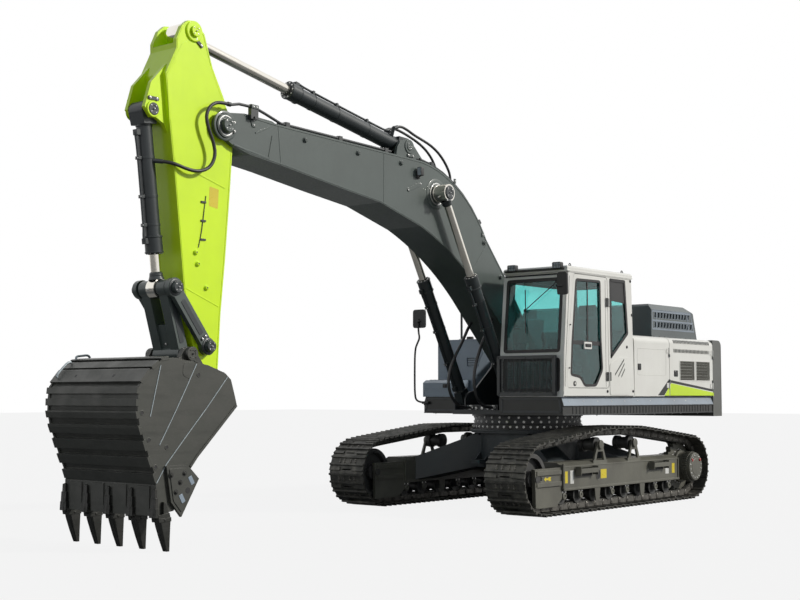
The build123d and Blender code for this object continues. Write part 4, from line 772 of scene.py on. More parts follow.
def makeCabTrim(s):
    rubber, doorRubber, panel, dark, zinc, doorDark, doorWhite = newShapes(7)
    for low, high in ((2.07, 3.035), (1.56, 1.985)):
        edge = rounded(shrunk(rect(.565, 1.432, low, high), -s["lap"]), .05)
        addFrame(rubber, edge, s["rubber"], lambda a, b, h: (frontFace(b) + h - .002, a, b), .009)
    addFrame(rubber, rounded(shrunk(s["quarter"], -s["lap"]), .03), s["rubber"],
        lambda a, b, h: (a, s["side"] + h - .002, b), .007)
    addFrame(rubber, rounded(shrunk(s["right"], -s["lap"]), .05), s["rubber"],
        lambda a, b, h: (a, s["inner"] - h + .002, b), .007)
    addFrame(rubber, rounded(shrunk(rect(.59, 1.407, 2.4, 3.03), -.008), .03), .03,
        lambda a, b, h: (-.428 + .057 * (b - 1.485) / 1.649 - h + .002, a, b), .007)
    addFrame(doorRubber, rounded(shrunk(s["doorWindow"], -s["lap"]), .05), s["rubber"] - .006,
        lambda a, b, h: (a, s["door"] + h - .001, b), .006)
    # sliding panes: the middle rail, the upright where they lap, the latch
    addPrism(doorDark, [(.44, 2.17), (1.195, 2.17), (1.188, 2.225), (.447, 2.225)], 1.4805, 1.489)
    addPrism(doorDark, [(.765, 2.225), (.79, 2.225), (.785, 3.03), (.762, 3.03)], 1.4805, 1.487)
    addPrism(doorWhite, roundRect(.7, .89, 2.115, 2.21, .02), 1.482, 1.504)
    addPrism(doorDark, roundRect(.72, .87, 2.14, 2.185, .012), 1.503, 1.507)
    addPrism(doorDark, roundRect(.748, .84, 2.148, 2.176, .008), 1.506, 1.512)
    # folded rim, lock disc and the handle's studs
    addRidge(doorDark, [(.33, 1.62), (.33, 3.06)], .006, 1.4945, 1.4965)
    addTurned(doorDark, (1.124, 1.495, 1.66), 1, [(0, .034), (.004, .034), (.007, .028)], 28)
    addTurned(doorWhite, (1.124, 1.501, 1.66), 1, [(0, .016), (.004, .014)], 20)
    for a, b in (((1.262, 1.86), (1.262, 1.9)), ((1.232, 2.42), (1.232, 2.46))):
        addBar(doorDark, (a[0], 1.494, a[1]), (a[0], 1.512, a[1]), .009)
    # hinge leaves and their bolts
    for z in (1.76, 2.76):
        addPrism(doorDark, roundRect(.268, .335, z - .06, z + .06, .012), 1.5052, 1.509)
        for dz in (-.032, .032):
            addBolt(doorDark, (.312, 1.509, z + dz), 1, .009)
        addBlock(dark, (.205, .238), (bodySide, 1.506), (z - .058, z + .058))
    # seam strip down the front pillar
    addRidge(dark, [(1.235, 3.06), (1.262, 2.72), (1.335, 2.02), (1.362, 1.62)], .007, 1.4955, 1.4985)
    addRidge(dark, [(1.3, 3.0), (1.375, 2.06), (1.392, 1.52)], .004, 1.4955, 1.4978)
    # raised lower rear panel with three slanting slots, upper rear cap line
    low = [(.238, 1.51), (.236, 1.93), (.003, 2.03), (-.275, 2.03), (-.3, 1.51)]
    addPrism(panel, rounded(low, .04), bodySide, 1.5035)
    # the slots are dark strips: painted shade in them
    for a, b in s["slots"]:
        addPrism(dark, rounded([(a[0], a[1] - .013), (a[0], a[1] + .013), (b[0], b[1] + .013),
            (b[0], b[1] - .013)], .006), 1.5034, 1.5044)
    addPrism(dark, rounded([(.197, 2.79), (.204, 3.07), (-.182, 3.07), (-.212, 2.77)], .02), 1.4885, 1.4935)
    for x, z in ((-.231, 2.171), (-.39, 1.563), (-.345, 3.088), (-.378, 2.62), (.3, 1.56)):
        addTurned(dark, (x, bodySide, z), 1, [(0, .019), (.007, .019), (.012, .012)], 20)
    # folded gutter under the roof and the sill below the door
    addPrism(panel, [(-.36, 3.108), (1.245, 3.108), (1.24, 3.128), (-.365, 3.128)], bodySide, 1.504)
    addPrism(dark, rect(-.4, 1.39, 1.487, 1.5), bodySide, 1.4995)
    for y in (.62, .9, 1.18, 1.38):
        addBolt(zinc, (-.4277 + .057 * (2.2 - 1.485) / 1.649, y, 2.2), (-1, 0, 0), .011)
    # wiper: motor cover, arm and blade
    spot = (frontFace(2.985) + .004, 1.36, 2.985)
    addTurned(dark, spot, (1, 0, .1), [(0, .03), (.018, .028), (.024, .016), (.03, .012)], 24)
    end = (frontFace(2.62) + .03, .88, 2.62)
    addBar(dark, (spot[0] + .024, spot[1], spot[2]), end, .006, 10)
    addBar(dark, (frontFace(2.9) + .012, .86, 2.9), (frontFace(2.32) + .012, .9, 2.32), .007, 8)
    addBlock(dark, (frontFace(2.62) + .008, frontFace(2.62) + .032), (.865, .895), (2.6, 2.64))
    finishPiece(rubber, "windowSeals", "gasketRubber", upper, "hose_rubber", .003, 2)
    finishPiece(doorRubber, "doorWindowSeal", "gasketRubber", "cab_door", "hose_rubber", .003, 2)
    finishAll(upper, [
        (panel, "cabPanels", "cabWhite", "cab_white", .003, 2),
        (dark, "cabDarkTrim", "plasticBlack", "bearing_black", .0015, 1),
        (zinc, "cabBolts", "zincSteel", "cab_white"),
    ])
    finishPiece(doorDark, "doorDarkTrim", "plasticBlack", "cab_door", "bearing_black", .0015, 1)
    finishPiece(doorWhite, "doorLatch", "cabWhite", "cab_door", "cab_white", .002, 2)


makeCabTrim(cab)

guard = {"y": (.54, 1.36), "z": (1.545, 1.985), "x": 1.44, "step": .0205, "wire": .0022}


def makeGuardMesh(s):
    bm = bmesh.new()
    for axis in (0, 1):
        low, high = s["z"] if axis else s["y"]
        other = s["y"] if axis else s["z"]
        count = int((high - low) / s["step"])
        for i in range(1, count):
            c = low + (high - low) * i / count
            wide, lift = s["wire"], s["x"] + axis * .003
            if axis:
                addBlock(bm, (lift, lift + .003), other, (c - wide, c + wide))
            else:
                addBlock(bm, (lift, lift + .003), (c - wide, c + wide), other)
    finishPiece(bm, "guardMesh", "charcoal", upper, "charcoal")
    trim = bmesh.new()
    addFrame(trim, roundRect(.495, 1.405, 1.498, 2.026, .03), .045, lambda a, b, h: (1.452 + h, a, b), .005)
    for y in (.52, .95, 1.38):
        for z in (1.52, 2.005):
            addBolt(trim, (1.457, y, z), (1, 0, 0), .012)
    finishPiece(trim, "guardTrim", "charcoal", upper, "charcoal", .003, 2)


makeGuardMesh(guard)

inside = {"room": (-.35, 1.33, .566, 1.431, 1.547), "lever": ((.58, .6775), (.58, 1.3225))}


def makeCabInside(s):
    back, front, right, left, floorZ = s["room"]
    dark, cloth = newShapes(2)
    addPrism(cloth, rect(back, front, right, left), floorZ - .001, floorZ + .012, "z")
    addPrism(dark, rect(-.3, 1.16, right, left), 3.05, 3.07, "z")
    # rear wall lining under the window, kick panels, front column and its screen
    addPrism(dark, [(-.362, floorZ), (-.345, floorZ), (-.315, 2.36), (-.334, 2.36)], right, left)
    addBlock(dark, (-.3, 1.1), (right, right + .012), (floorZ, 2.05))
    addPrism(dark, rounded([(1.12, 1.99), (1.2, 1.99), (1.17, 2.2), (1.1, 2.2)], .015), .6, .78)
    addPrism(dark, [(1.2, floorZ), (1.24, floorZ), (1.18, 2.0), (1.15, 2.0)], .66, .72)
    for x, y in s["lever"]:
        addTurned(dark, (x, y, 2.1), (.15, 0, 1), [(0, .052), (.02, .046), (.034, .036), (.05, .038),
            (.064, .026), (.082, .026), (.092, .014), (.15, .012), (.16, .026), (.2, .031), (.25, .028),
            (.272, .016)], 24)
    for y in (.93, 1.07):
        addPrism(dark, [(.9, floorZ + .02), (1.05, floorZ + .14), (1.03, floorZ + .16), (.88, floorZ + .04)],
            y - .045, y + .045)
        addBar(dark, (.92, y, floorZ + .05), (.84, y, floorZ + .55), .011)
        addTurned(dark, (.84, y, floorZ + .53), (-.15, 0, 1),
            [(0, .018), (.03, .026), (.07, .026), (.09, .014)], 18)
    finishPiece(dark, "cabInsideDark", "plasticBlack", upper, "bearing_black", .006, 2)
    finishPiece(cloth, "cabFloorMat", "hoseRubber", upper, "hose_rubber")


makeCabInside(inside)

seat = {"base": (.02, .56, .75, 1.25, 1.795, 1.925), "frame": "operator_seat"}


def addCushion(bm, place, wide, deep, thick, crown, nx=22, ny=22):
    # a crowned pad: round corners, a full edge and a raised middle
    def shape(i, j, top):
        u, v = 2 * i / nx - 1, 2 * j / ny - 1
        fall = (1 - abs(u) ** 5) * (1 - abs(v) ** 5)
        lift = thick * .5 + (thick * .5 + crown * (1 - u * u) * (1 - v * v)) * max(fall, 0) ** .45 * top
        pull = 1 - .03 * (1 - max(fall, 0) ** .5)
        return place(u * wide / 2 * pull, v * deep / 2 * pull, lift)
    grids = []
    for top in (1, -1):
        grids.append([[bm.verts.new(shape(i, j, top)) for j in range(ny + 1)] for i in range(nx + 1)])
    for grid, turn in zip(grids, (1, -1)):
        for i in range(nx):
            for j in range(ny):
                bm.faces.new((grid[i][j], grid[i + 1][j], grid[i + 1][j + 1], grid[i][j + 1])[::turn])
    bmesh.ops.remove_doubles(bm, verts=bm.verts, dist=.0008)


def makeSeat(s):
    x0, x1, y0, y1, z0, z1 = s["base"]
    middle = (y0 + y1) / 2
    frameBm = bmesh.new()
    addBlock(frameBm, (.08, .44), (middle - .17, middle + .17), (1.5455, 1.56))
    for i in range(5):
        addPrism(frameBm, rounded([(.1 - .012 * (i % 2), 1.56 + .042 * i),
            (.42 + .012 * (i % 2), 1.56 + .042 * i), (.42 + .012 * (i % 2), 1.6 + .042 * i),
            (.1 - .012 * (i % 2), 1.6 + .042 * i)], .012), middle - .15, middle + .15)
    addBlock(frameBm, (.05, .53), (y0 + .03, y1 - .03), (1.768, 1.8))
    addPrism(frameBm, [(0.0, 1.79), (.04, 1.79), (-.06, 2.56), (-.09, 2.56)], .79, 1.21)
    for y in (.94, 1.06):
        addBar(frameBm, (-.07, y, 2.5), (-.06, y, 2.66), .009)
    frameOf = finishPiece(frameBm, "seatFrame", "plasticBlack", upper, "seat_fabric", .006, 2)
    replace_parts(frameOf, s["frame"])
    pads = bmesh.new()
    addCushion(pads, lambda a, b, c: (.3 + b, middle + a, 1.795 + c), y1 - y0 - .01, x1 - x0 - .02, .11, .02)
    lean = atan2(.12, .67)
    addCushion(pads, lambda a, b, c: (.045 - (b + .335) * sin(lean) + (c - .04) * cos(lean), middle + a,
        1.94 + (b + .335) * cos(lean) + (c - .04) * sin(lean)), .47, .66, .09, .025)
    addCushion(pads, lambda a, b, c: (-.055 + c * .98, middle + a, 2.68 + b), .28, .16, .07, .01, 14, 12)
    cloth = finishPiece(pads, "seatCushions", "seatCloth", upper, "seat_fabric", smooth=60)
    trim = bmesh.new()
    for y in (y0 - .03, y1 + .03):
        addPrism(trim, rounded([(.08, 1.99), (.42, 2.01), (.42, 2.05), (.08, 2.04)], .02), y - .022, y + .022)
        addBlock(trim, (.02, .06), sorted((y, y + (.03 if y < middle else -.03))), (1.88, 2.02))
    finishPiece(trim, "seatArms", "plasticBlack", upper, "seat_fabric", .008, 3)


makeSeat(seat)

mirror = {"pole": ((.536, -1.38, 1.4), (.536, -1.48, 1.4), (.536, -1.6, 1.425), (.534, -1.635, 1.5),
    (.533, -1.64, 1.763), (.527, -1.64, 2.178), (.518, -1.6, 2.28), (.51, -1.56, 2.355), (.51, -1.59, 2.46),
    (.51, -1.59, 2.64)), "radius": .014}


def makeMirrors(s):
    bm, glass = newShapes(2)
    addPipe(bm, s["pole"], s["radius"])
    addPrism(bm, roundRect(-1.7, -1.47, 2.505, 2.78, .045), .472, .5, "x")
    addPrism(glass, roundRect(-1.688, -1.482, 2.517, 2.768, .04), .4695, .473, "x")
    addBlock(bm, (.5, .54), (-1.5, -1.38), (1.38, 1.42))
    addTurned(bm, (.5, -1.59, 2.6), (1, 0, 0), [(0, .03), (.02, .024), (.032, .014)], 20)
    addPrism(bm, roundRect(1.503, 1.654, 2.789, 3.08, .035), 1.514, 1.545, "x")
    addPrism(glass, roundRect(1.512, 1.645, 2.798, 3.071, .03), 1.511, 1.515, "x")
    addPipe(bm, ((1.3, 1.45, 2.93), (1.36, 1.455, 2.93), (1.45, 1.47, 2.915), (1.545, 1.5, 2.9),
        (1.552, 1.56, 2.9), (1.545, 1.58, 2.9)), .011)
    addBlock(bm, (frontFace(2.93) + .0005, 1.33), (1.435, 1.465), (2.905, 2.955))
    for z in (2.915, 2.945):
        addBolt(bm, (1.33, 1.45, z), (1, 0, 0), .009)
    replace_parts(finishPiece(bm, "mirrorSet", "plasticBlack", upper, "bearing_black", .004, 3), "mirrors")
    finishPiece(glass, "mirrorGlass", "mirrorSilver", upper, "tinted_glass", .001, 1)


makeMirrors(mirror)

roofLamp = {"y": (.676, 1.382), "x": (1.3, 1.37), "z": (3.15, 3.235), "half": .065}


def makeRoofLamps(s):
    shell, lens, wire = newShapes(3)
    addBlock(shell, (1.2905, 1.33), (.54, 1.457), (3.14, 3.165))
    for y in s["y"]:
        outline = roundRect(y - s["half"], y + s["half"], s["z"][0], s["z"][1], .02)
        addPrism(shell, outline, s["x"][0], s["x"][1] - .006, "x")
        addPrism(lens, shrunk(outline, .008), s["x"][1] - .0065, s["x"][1] - .002, "x")
        addFrame(shell, outline, .009, lambda a, b, h: (s["x"][1] - .008 + h, a, b), .008)
        for dy in (-.04, 0, .04):
            addPipe(wire, ((1.363, y + dy, 3.152), (1.378, y + dy, 3.165), (1.38, y + dy, 3.19),
                (1.378, y + dy, 3.222), (1.363, y + dy, 3.233)), .0028)
        addPipe(wire, ((1.363, y - .062, 3.193), (1.38, y - .05, 3.193), (1.382, y, 3.193),
            (1.38, y + .05, 3.193), (1.363, y + .062, 3.193)), .0028)
    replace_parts(finishPiece(shell, "roofLampBodies", "plasticBlack", upper, "bearing_black", .003, 2),
        "roof_lamps")
    finishPiece(lens, "roofLampLenses", "lampGlass", upper, "tinted_glass")
    finishPiece(wire, "roofLampBows", "charcoal", upper, "bearing_black")


makeRoofLamps(roofLamp)

roof = {"eyes": ((1.1, .58), (1.1, 1.42), (-.25, .58), (-.25, 1.42)), "hatch": (.1, .9, .68, 1.32),
    "top": 3.1945}


def makeRoofTrim(s):
    white, dark = newShapes(2)
    for x, y in s["eyes"]:
        addTurned(dark, (x, y, s["top"]), upward, [(0, .026), (.008, .026), (.014, .014)], 22)
        addPipe(dark, ((x - .022, y, 3.2), (x - .022, y, 3.222), (x, y, 3.236), (x + .022, y, 3.222),
            (x + .022, y, 3.2)), .006)
    x0, x1, y0, y1 = s["hatch"]
    addPrism(white, roundRect(x0, x1, y0, y1, .07), s["top"], 3.211, "z")
    addFrame(dark, roundRect(x0 - .02, x1 + .02, y0 - .02, y1 + .02, .08), .018,
        lambda a, b, h: (a, b, s["top"] + h), .005)
    addPrism(white, rect(-.392, 1.296, 3.118, 3.136), bodySide, 1.508)
    addPrism(white, [(1.24, 3.112), (1.3, 3.118), (1.3, 3.136), (1.24, 3.136)], .497, 1.503)
    addTurned(dark, (-.3, .6, s["top"]), upward, [(0, .03), (.02, .024), (.03, .012)], 20)
    addBar(dark, (-.3, .6, 3.2), (-.3, .6, 3.24), .004, 8)
    finishPiece(white, "roofPanels", "cabWhite", upper, "cab_white", .005, 3)
    finishPiece(dark, "roofFittings", "plasticBlack", upper, "bearing_black", .002, 2)


makeRoofTrim(roof)
print("cab dressed")

shoulder = {"flat": 2.253, "centre": 1.4, "radius": .097, "face": 1.497}


def onSide(s, side, x, girth, lift):
    # a point on the panel's outside: up the flat part, then round its shoulder
    if girth <= s["flat"]:
        return (x, side * (s["face"] + lift), girth)
    a = (girth - s["flat"]) / s["radius"]
    reach = s["radius"] + lift
    return (x, side * (s["centre"] + reach * cos(a)), s["flat"] + reach * sin(a))


def addSidePatch(bm, side, low, high, girths, lift, drop=-.001, steps=1):
    # a thin raised piece between two X places, its outline following the shoulder
    count = max(steps, 1)
    rows = [girths[0] + (girths[1] - girths[0]) * i / count for i in range(count + 1)]
    line = [(g, drop) for g in rows] + [(g, lift) for g in rows[::-1]]
    ends = [[bm.verts.new(onSide(shoulder, side, x, g, h)) for g, h in line] for x in (low, high)]
    for end in ends:
        bm.faces.new(end)
    for i in range(len(line)):
        bm.faces.new((ends[0][i - 1], ends[1][i - 1], ends[1][i], ends[0][i]))


panels = {
    "side_door_front": {"side": 1, "x": (-1.456, -.436)},
    "side_door_rear": {"side": 1, "x": (-2.847, -1.468)},
    "side_door_right": {"side": -1, "x": (-2.847, -1.468)},
}
panelTrim = {"grilles": ((-1.785, -2.24), (-2.298, -2.742)), "grilleZ": (1.727, 2.011),
    "rows": ((-1.6, -2.765, 2.262, 2.322, 27), (-1.6, -2.74, 2.128, 2.186, 26)),
    "latch": (-1.71, -1.6, 1.78, 1.87), "dark": [(-1.104, 1.506), (-1.434, 1.733), (-2.875, 1.595),
    (-2.874, 1.562), (-1.512, 1.688), (-1.291, 1.506)], "lime": [(-1.291, 1.4935), (-1.5, 1.682),
    (-2.873, 1.548), (-2.871, 1.4935)]}


def addLouvre(bm, side, x, girth, wide, lift):
    # a pressed hood: closed at its rear edge, rising towards its open front edge
    rows = [girth[0] + (girth[1] - girth[0]) * i / 3 for i in range(4)]
    near = [bm.verts.new(onSide(shoulder, side, x - wide / 2, g, -.0008)) for g in rows]
    far = [bm.verts.new(onSide(shoulder, side, x + wide / 2, g, lift * (1 if 0 < i < 3 else .5)))
        for i, g in enumerate(rows)]
    foot = [bm.verts.new(onSide(shoulder, side, x + wide / 2, g, -.0008)) for g in rows]
    for i in range(3):
        bm.faces.new((near[i], near[i + 1], far[i + 1], far[i]))
        bm.faces.new((far[i], far[i + 1], foot[i + 1], foot[i]))
        bm.faces.new((foot[i], foot[i + 1], near[i + 1], near[i]))
    for i in (0, 3):
        bm.faces.new((near[i], far[i], foot[i]))


def addLatch(bm, side, x0, x1, z0, z1):
    addPrism(bm, roundRect(x0, x1, z0, z1, .014), *span(side, bodySide, 1.5025))
    addPrism(bm, roundRect(x0 + .014, x1 - .014, z0 + .018, z1 - .022, .01), *span(side, 1.502, 1.507))


def makePanelTrim(s):
    for body, p in panels.items():
        side, (low, high) = p["side"], p["x"]
        paint, dark, lime, hoods, mesh = newShapes(5)
        for outline, bm in ((s["dark"], dark), (s["lime"], lime)):
            part = clipX(outline, low + .004, high - .004)
            if len(part) > 2:
                addPrism(bm, part, *span(side, bodySide, 1.4985))
        # rim pressed along each door's foot
        addSidePatch(paint, side, low + .003, high - .003, (1.4955 - .003, 1.4955 + .008), .0015)
        if body != "side_door_front":
            for near, far in s["grilles"]:
                z0, z1 = s["grilleZ"]
                addFrame(paint, roundRect(far - .014, near + .014, z0 - .014, z1 + .014, .02), .017,
                    lambda a, b, h: (a, side * (bodySide + h), b), .0045)
                # dark slats and a dark plate behind the grille: painted shade inside the opening
                for i in range(14):
                    x = far + (near - far) * (i + .5) / 14
                    addBlock(dark, (x - .002, x + .002), span(side, 1.462, 1.468), (z0, z1))
                addBlock(dark, (far, near), span(side, 1.452, 1.4535), (z0, z1))
                for i in range(1, 24):
                    x = far + (near - far) * i / 24
                    addBlock(mesh, (x - .0032, x + .0032), span(side, bodySide, 1.4985), (z0, z1))
                for i in range(1, 17):
                    z = z0 + (z1 - z0) * i / 17
                    addBlock(mesh, (far, near), span(side, 1.4975, 1.4995), (z - .0026, z + .0026))
            for x0, x1, g0, g1, count in s["rows"]:
                for i in range(count):
                    x = x0 + (x1 - x0) * (i + .5) / count
                    addLouvre(hoods, side, x, (g0, g1), .03, .009)
                    # dark strip before each louvre's open edge: painted shade under its hood
                    addSidePatch(dark, side, x + .0155, x + .029, (g0 + .004, g1 - .004), .0006, steps=3)
            x0, x1, z0, z1 = s["latch"]
            addLatch(dark, side, x0, x1, z0, z1)
            addTurned(paint, (x1 - .026, side * 1.502, z1 - .012), side, [(0, .007), (.003, .006)], 16)
        else:
            addLatch(dark, side, -.62, -.53, 1.86, 1.95)
            # pressed field of the plain door
            addFrame(paint, roundRect(-1.36, -.52, 1.79, 2.17, .05), .008,
                lambda a, b, h: (a, bodySide + h, b), .0022)
        for z in (1.65, 2.146):
            x = low + .012
            addPrism(paint, roundRect(x + .004, x + .075, z - .036, z + .036, .01),
                *span(side, bodySide, 1.5015))
            for dz in (-.02, .02):
                addBolt(paint, (x + .05, side * 1.5015, z + dz), side, .008)
        name = body.replace("_", " ").title().replace(" ", "")
        finishPiece(paint, "trim" + name, "cabWhite", body, "cab_white", .0012, 1)
        finishPiece(dark, "dark" + name, "plasticBlack", body, "bearing_black")
        finishPiece(lime, "stripe" + name, "stripeLime", body, "cab_white")
        if hoods.verts:
            finishPiece(mesh, "grille" + name, "frameOlive", body, "cab_white")
            finishPiece(hoods, "louvres" + name, "cabWhite", body, "cab_white", smooth=50)


makePanelTrim(panelTrim)

deck = {"low": (1.497, 1.372), "high": (1.457, 1.485), "face": 1.4845, "under": 1.2425}


def makeDeckTrim(s):
    band, dark, zinc, rubber = newShapes(4)
    (y0, z0), (y1, z1) = s["low"], s["high"]
    run = hypot(y1 - y0, z1 - z0)
    out = (z1 - z0) / run, (y0 - y1) / run
    for side, rear, front in ((1, -2.845, 1.396), (-1, -2.845, .496)):
        line = [(y0, z0), (y1, z1), (y1 + out[0] * .003, z1 + out[1] * .003),
            (y0 + out[0] * .003, z0 + out[1] * .003)]
        addPrism(band, [(side * y, z) for y, z in line], rear, front, "x")
        # row of upright slots with folded lips, and the kick rail beneath them
        count = int((front - rear - .2) / .088)
        for i in range(count):
            x = rear + .12 + i * .088
            # each slot is a dark patch: painted shade in the opening
            addPrism(dark, roundRect(x - .012, x + .012, 1.268, 1.352, .01), *span(side, s["face"], 1.4858))
            addPrism(rubber, rect(x + .014, x + .02, 1.264, 1.356), *span(side, s["face"], 1.4905))
        addPrism(rubber, rect(rear, front, 1.2475, 1.258), *span(side, s["face"], 1.494))
        addPrism(rubber, rect(rear, front, 1.364, 1.372), *span(side, 1.49, 1.5))
        for i in range(12):
            x = rear + .15 + i * (front - rear - .3) / 11
            addBolt(zinc, (x, side * (y0 + (y1 - y0) * .5 + out[0] * .003),
                z0 + (z1 - z0) * .5 + out[1] * .003), (0, side * out[0], out[1]), .0085)
        # plates on the deck's underside
        for x in (-2.3, -1.5, -.7, .1):
            addBlock(rubber, (x - .3, x + .3), span(side, .62, 1.4), (s["under"], 1.248))
            for dx in (-.27, .27):
                for y in (.65, 1.37):
                    addBolt(zinc, (x + dx, side * y, s["under"]), (0, 0, -1), .012)
    # front faces of the two decks
    addFrame(rubber, rounded([(.52, 1.275), (1.47, 1.275), (1.447, 1.475), (.52, 1.475)], .02), .03,
        lambda a, b, h: (1.3995 + h, a, b), .006)
    addFrame(rubber, rounded([(-1.47, 1.275), (-.52, 1.275), (-.52, 1.475), (-1.447, 1.475)], .02), .03,
        lambda a, b, h: (.4995 + h, a, b), .006)
    # centre section: ends of the swivel block's fittings
    for y in (-.19, .19):
        addTurned(zinc, (1.1, y, 1.34), (1, 0, 0), [(0, .036), (.012, .036), (.016, .031), (.03, .031)], 6)
    for y in (-.1, 0.0, .1):
        addTurned(zinc, (1.104, y, 1.33), (1, 0, 0), [(0, .022), (.01, .022), (.014, .018)], 6)
    finishAll(upper, [
        (band, "deckBand", "deckBlue", "charcoal", .001, 1),
        (dark, "deckSlots", "gasketRubber", "bearing_black"),
        (zinc, "deckBolts", "zincSteel", "charcoal"),
        (rubber, "deckLips", "charcoal", "charcoal"),
    ])


makeDeckTrim(deck)

centreFrame = {"foot": (.22, 1.95), "cylinder": (1.0, 1.45)}


def makeCentreTrim(s):
    iron, zinc = newShapes(2)
    for side in (-1, 1):
        x, z = s["foot"]
        face = side * .335
        addTurned(iron, (x, face, z), side, [(0, .08), (.006, .08), (.01, .074), (.01, .03), (.014, .026)], 36)
        addBoltRing(zinc, (x, face + side * .009, z), side, .056, 6, .01)
        x, z = s["cylinder"]
        face = side * .494
        addTurned(iron, (x, face, z), side, [(0, .062), (.008, .062), (.012, .055), (.012, .03)], 36)
        addPrism(iron, roundRect(x - .05, x + .05, z + .068, z + .098, .01), *span(side, .4875, .5))
        for dx in (-.03, .03):
            addBolt(zinc, (x + dx, side * .5, z + .083), side, .011)
        # weld beads where the webs stand on the plate
        for y in (.281, .3075, .4635, .4885):
            addBar(iron, (.885, side * y, 1.309), (1.098, side * y, 1.309), .007, 8)
    finishPiece(iron, "centreFrameTrim", "charcoal", upper, "charcoal", .003, 2)
    finishPiece(zinc, "centreFrameBolts", "zincSteel", upper, "charcoal")


makeCentreTrim(centreFrame)

hood = {"y": (-.95, 1.3), "rows": ((2.64, 2.72, 12), (2.5, 2.58, 13)), "top": 2.8395}


def makeHoodTrim(s):
    lip, dark, band = newShapes(3)
    y0, y1 = s["y"]
    for z0, z1, count in s["rows"]:
        for i in range(count):
            x = -1.42 - .092 * i
            outline = [(x - .026, z0), (x + .026, z0), (x + .008, z1), (x - .044, z1)]
            for face, side in ((y0, -1), (y1, 1)):
                addFrame(band, shrunk(outline, -.006), .0065, lambda a, b, h: (a, face + side * h, b), .003)
                # dark plate inside each louvre: painted shade in the opening
                addPrism(dark, shrunk(outline, -.003), *skin(face, side, .09, -.093))
    # bright strips between the rows and at their ends, folded foot flange with bolts, centre seam
    for face, side in ((y0, -1), (y1, 1)):
        for z, rear in ((2.735, -2.53), (2.6, -2.6), (2.475, -2.64)):
            addBlock(band, (rear, -1.33), skin(face, side, .001, .0025), (z - .011, z + .011))
        for x, rake in ((-1.335, 0), (-1.46, 0), (-2.42, .05), (-2.53, .1)):
            addPrism(band, [(x - rake, 2.475), (x + .018 - rake, 2.475), (x + .018, 2.735), (x, 2.735)],
                *skin(face, side, .001, .0022))
    for face, side in ((y0, -1), (y1, 1)):
        addPrism(band, [(-1.325, 2.752), (-1.31, 2.758), (-2.55, 2.758), (-2.53, 2.748)][::-1],
            *skin(face, side, .001, .003))
        addPrism(lip, [(-1.302, 2.352), (-1.302, 2.376), (-2.712, 2.376), (-2.727, 2.352)],
            *skin(face, side, .001, .006))
        for i in range(9):
            addBolt(dark, (-1.36 - i * .163, face + side * .006, 2.364), side, .009)
    addBlock(lip, (-2.4, -1.34), (.165, .185), (s["top"], 2.844))
    for y in (-.5, .85):
        addBlock(lip, (-1.3, -1.2955), (y - .07, y + .07), (2.375, 2.44))
        for dy in (-.045, .045):
            addBolt(dark, (-1.2955, y + dy, 2.42), (1, 0, 0), .009)
    # ribs pressed in the lid's top and the grab handle at its rear
    for y in (-.62, -.22, .56, .96):
        addPrism(lip, roundRect(-2.32, -1.44, y - .1, y + .1, .04), s["top"], 2.845, "z")
    addPipe(dark, ((-2.655, .03, 2.63), (-2.7, .03, 2.645), (-2.72, .06, 2.65), (-2.72, .29, 2.65),
        (-2.7, .32, 2.645), (-2.655, .32, 2.63)), .009)
    finishAll("engine_hood", [
        (lip, "hoodPressings", "coverGrey", "cover_grey", .0015, 1),
        (dark, "hoodFittings", "plasticBlack", "bearing_black"),
        (band, "hoodBand", "deckBlue", "cover_grey"),
    ])


makeHoodTrim(hood)

weight = {"radius": 3.48, "seams": ((1.3, 1.312), (2.19, 2.198)), "slices": 48}


def makeWeightTrim(s):
    groove, lampRed, dark, zinc, lime, band = newShapes(6)

    def tail(y, lift):
        reach = s["radius"] + lift
        return -sqrt(reach ** 2 - y ** 2)
    for z0, z1 in s["seams"]:
        for i in range(s["slices"]):
            ya, yb = [-1.49 + 2.98 * k / s["slices"] for k in (i, i + 1)]
            addPrism(groove, [(tail(ya, -.004), ya), (tail(yb, -.004), yb), (tail(yb, .0012), yb),
                (tail(ya, .0012), ya)], z0, z1, "z")
    for side in (-1, 1):
        for outline, bm in ((panelTrim["dark"], band), (panelTrim["lime"], lime)):
            part = clipX(outline, -2.9, -2.853)
            if len(part) > 2:
                addPrism(bm, part, *span(side, bodySide, 1.4985))
        # rear lamp with its bezel
        for i, bm in ((0, dark), (1, lampRed)):
            wide, high = .07 - .012 * i, .045 - .01 * i
            y = side * 1.18
            addPrism(bm, [(tail(y - wide, -.01), y - wide), (tail(y + wide, -.01), y + wide),
                (tail(y + wide, .012 + .005 * i), y + wide), (tail(y - wide, .012 + .005 * i), y - wide)],
                2.02 - high, 2.02 + high, "z")
        addPrism(groove, rect(-3.13, -3.122, 1.3, 2.26), *span(side, bodySide, 1.4982))
        addRing(zinc, (-3.13, side * .7, 2.3495), upward, 0, .006, .02, .05, 32)
    # plain field and the maintenance hatch at the rear
    for y in (-.21, .21):
        for z in (1.385, 1.495):
            addBolt(zinc, (tail(y, .004), y, z), (-1, 0, 0), .014)
    for wide, z0, z1, lift, bm in ((.3, 1.62, 1.86, .002, band), (.24, 1.36, 1.52, .004, groove)):
        addPrism(bm, [(tail(-wide, -.03), -wide), (tail(wide, -.03), wide), (tail(wide, lift), wide),
            (tail(0, lift), 0), (tail(-wide, lift), -wide)], z0, z1, "z")
    finishAll(upper, [
        (groove, "weightSeams", "charcoal", "counterweight_brown"),
        (lampRed, "rearLamps", "reflectRed", "tinted_glass", .003, 2),
        (dark, "rearLampBezels", "plasticBlack", "bearing_black", .004, 2),
        (zinc, "weightFittings", "zincSteel", "counterweight_brown"),
        (lime, "weightStripeLime", "stripeLime", "counterweight_brown"),
        (band, "weightStripeDark", "boomGrey", "counterweight_brown"),
    ])


makeWeightTrim(weight)

tank = {"cap": (-.9, -1.0, 2.37), "fuelCap": (-.15, -1.12, 2.33), "top": 2.3295, "front": .1495,
    "lidTop": 1.7295, "boxFront": .5195}


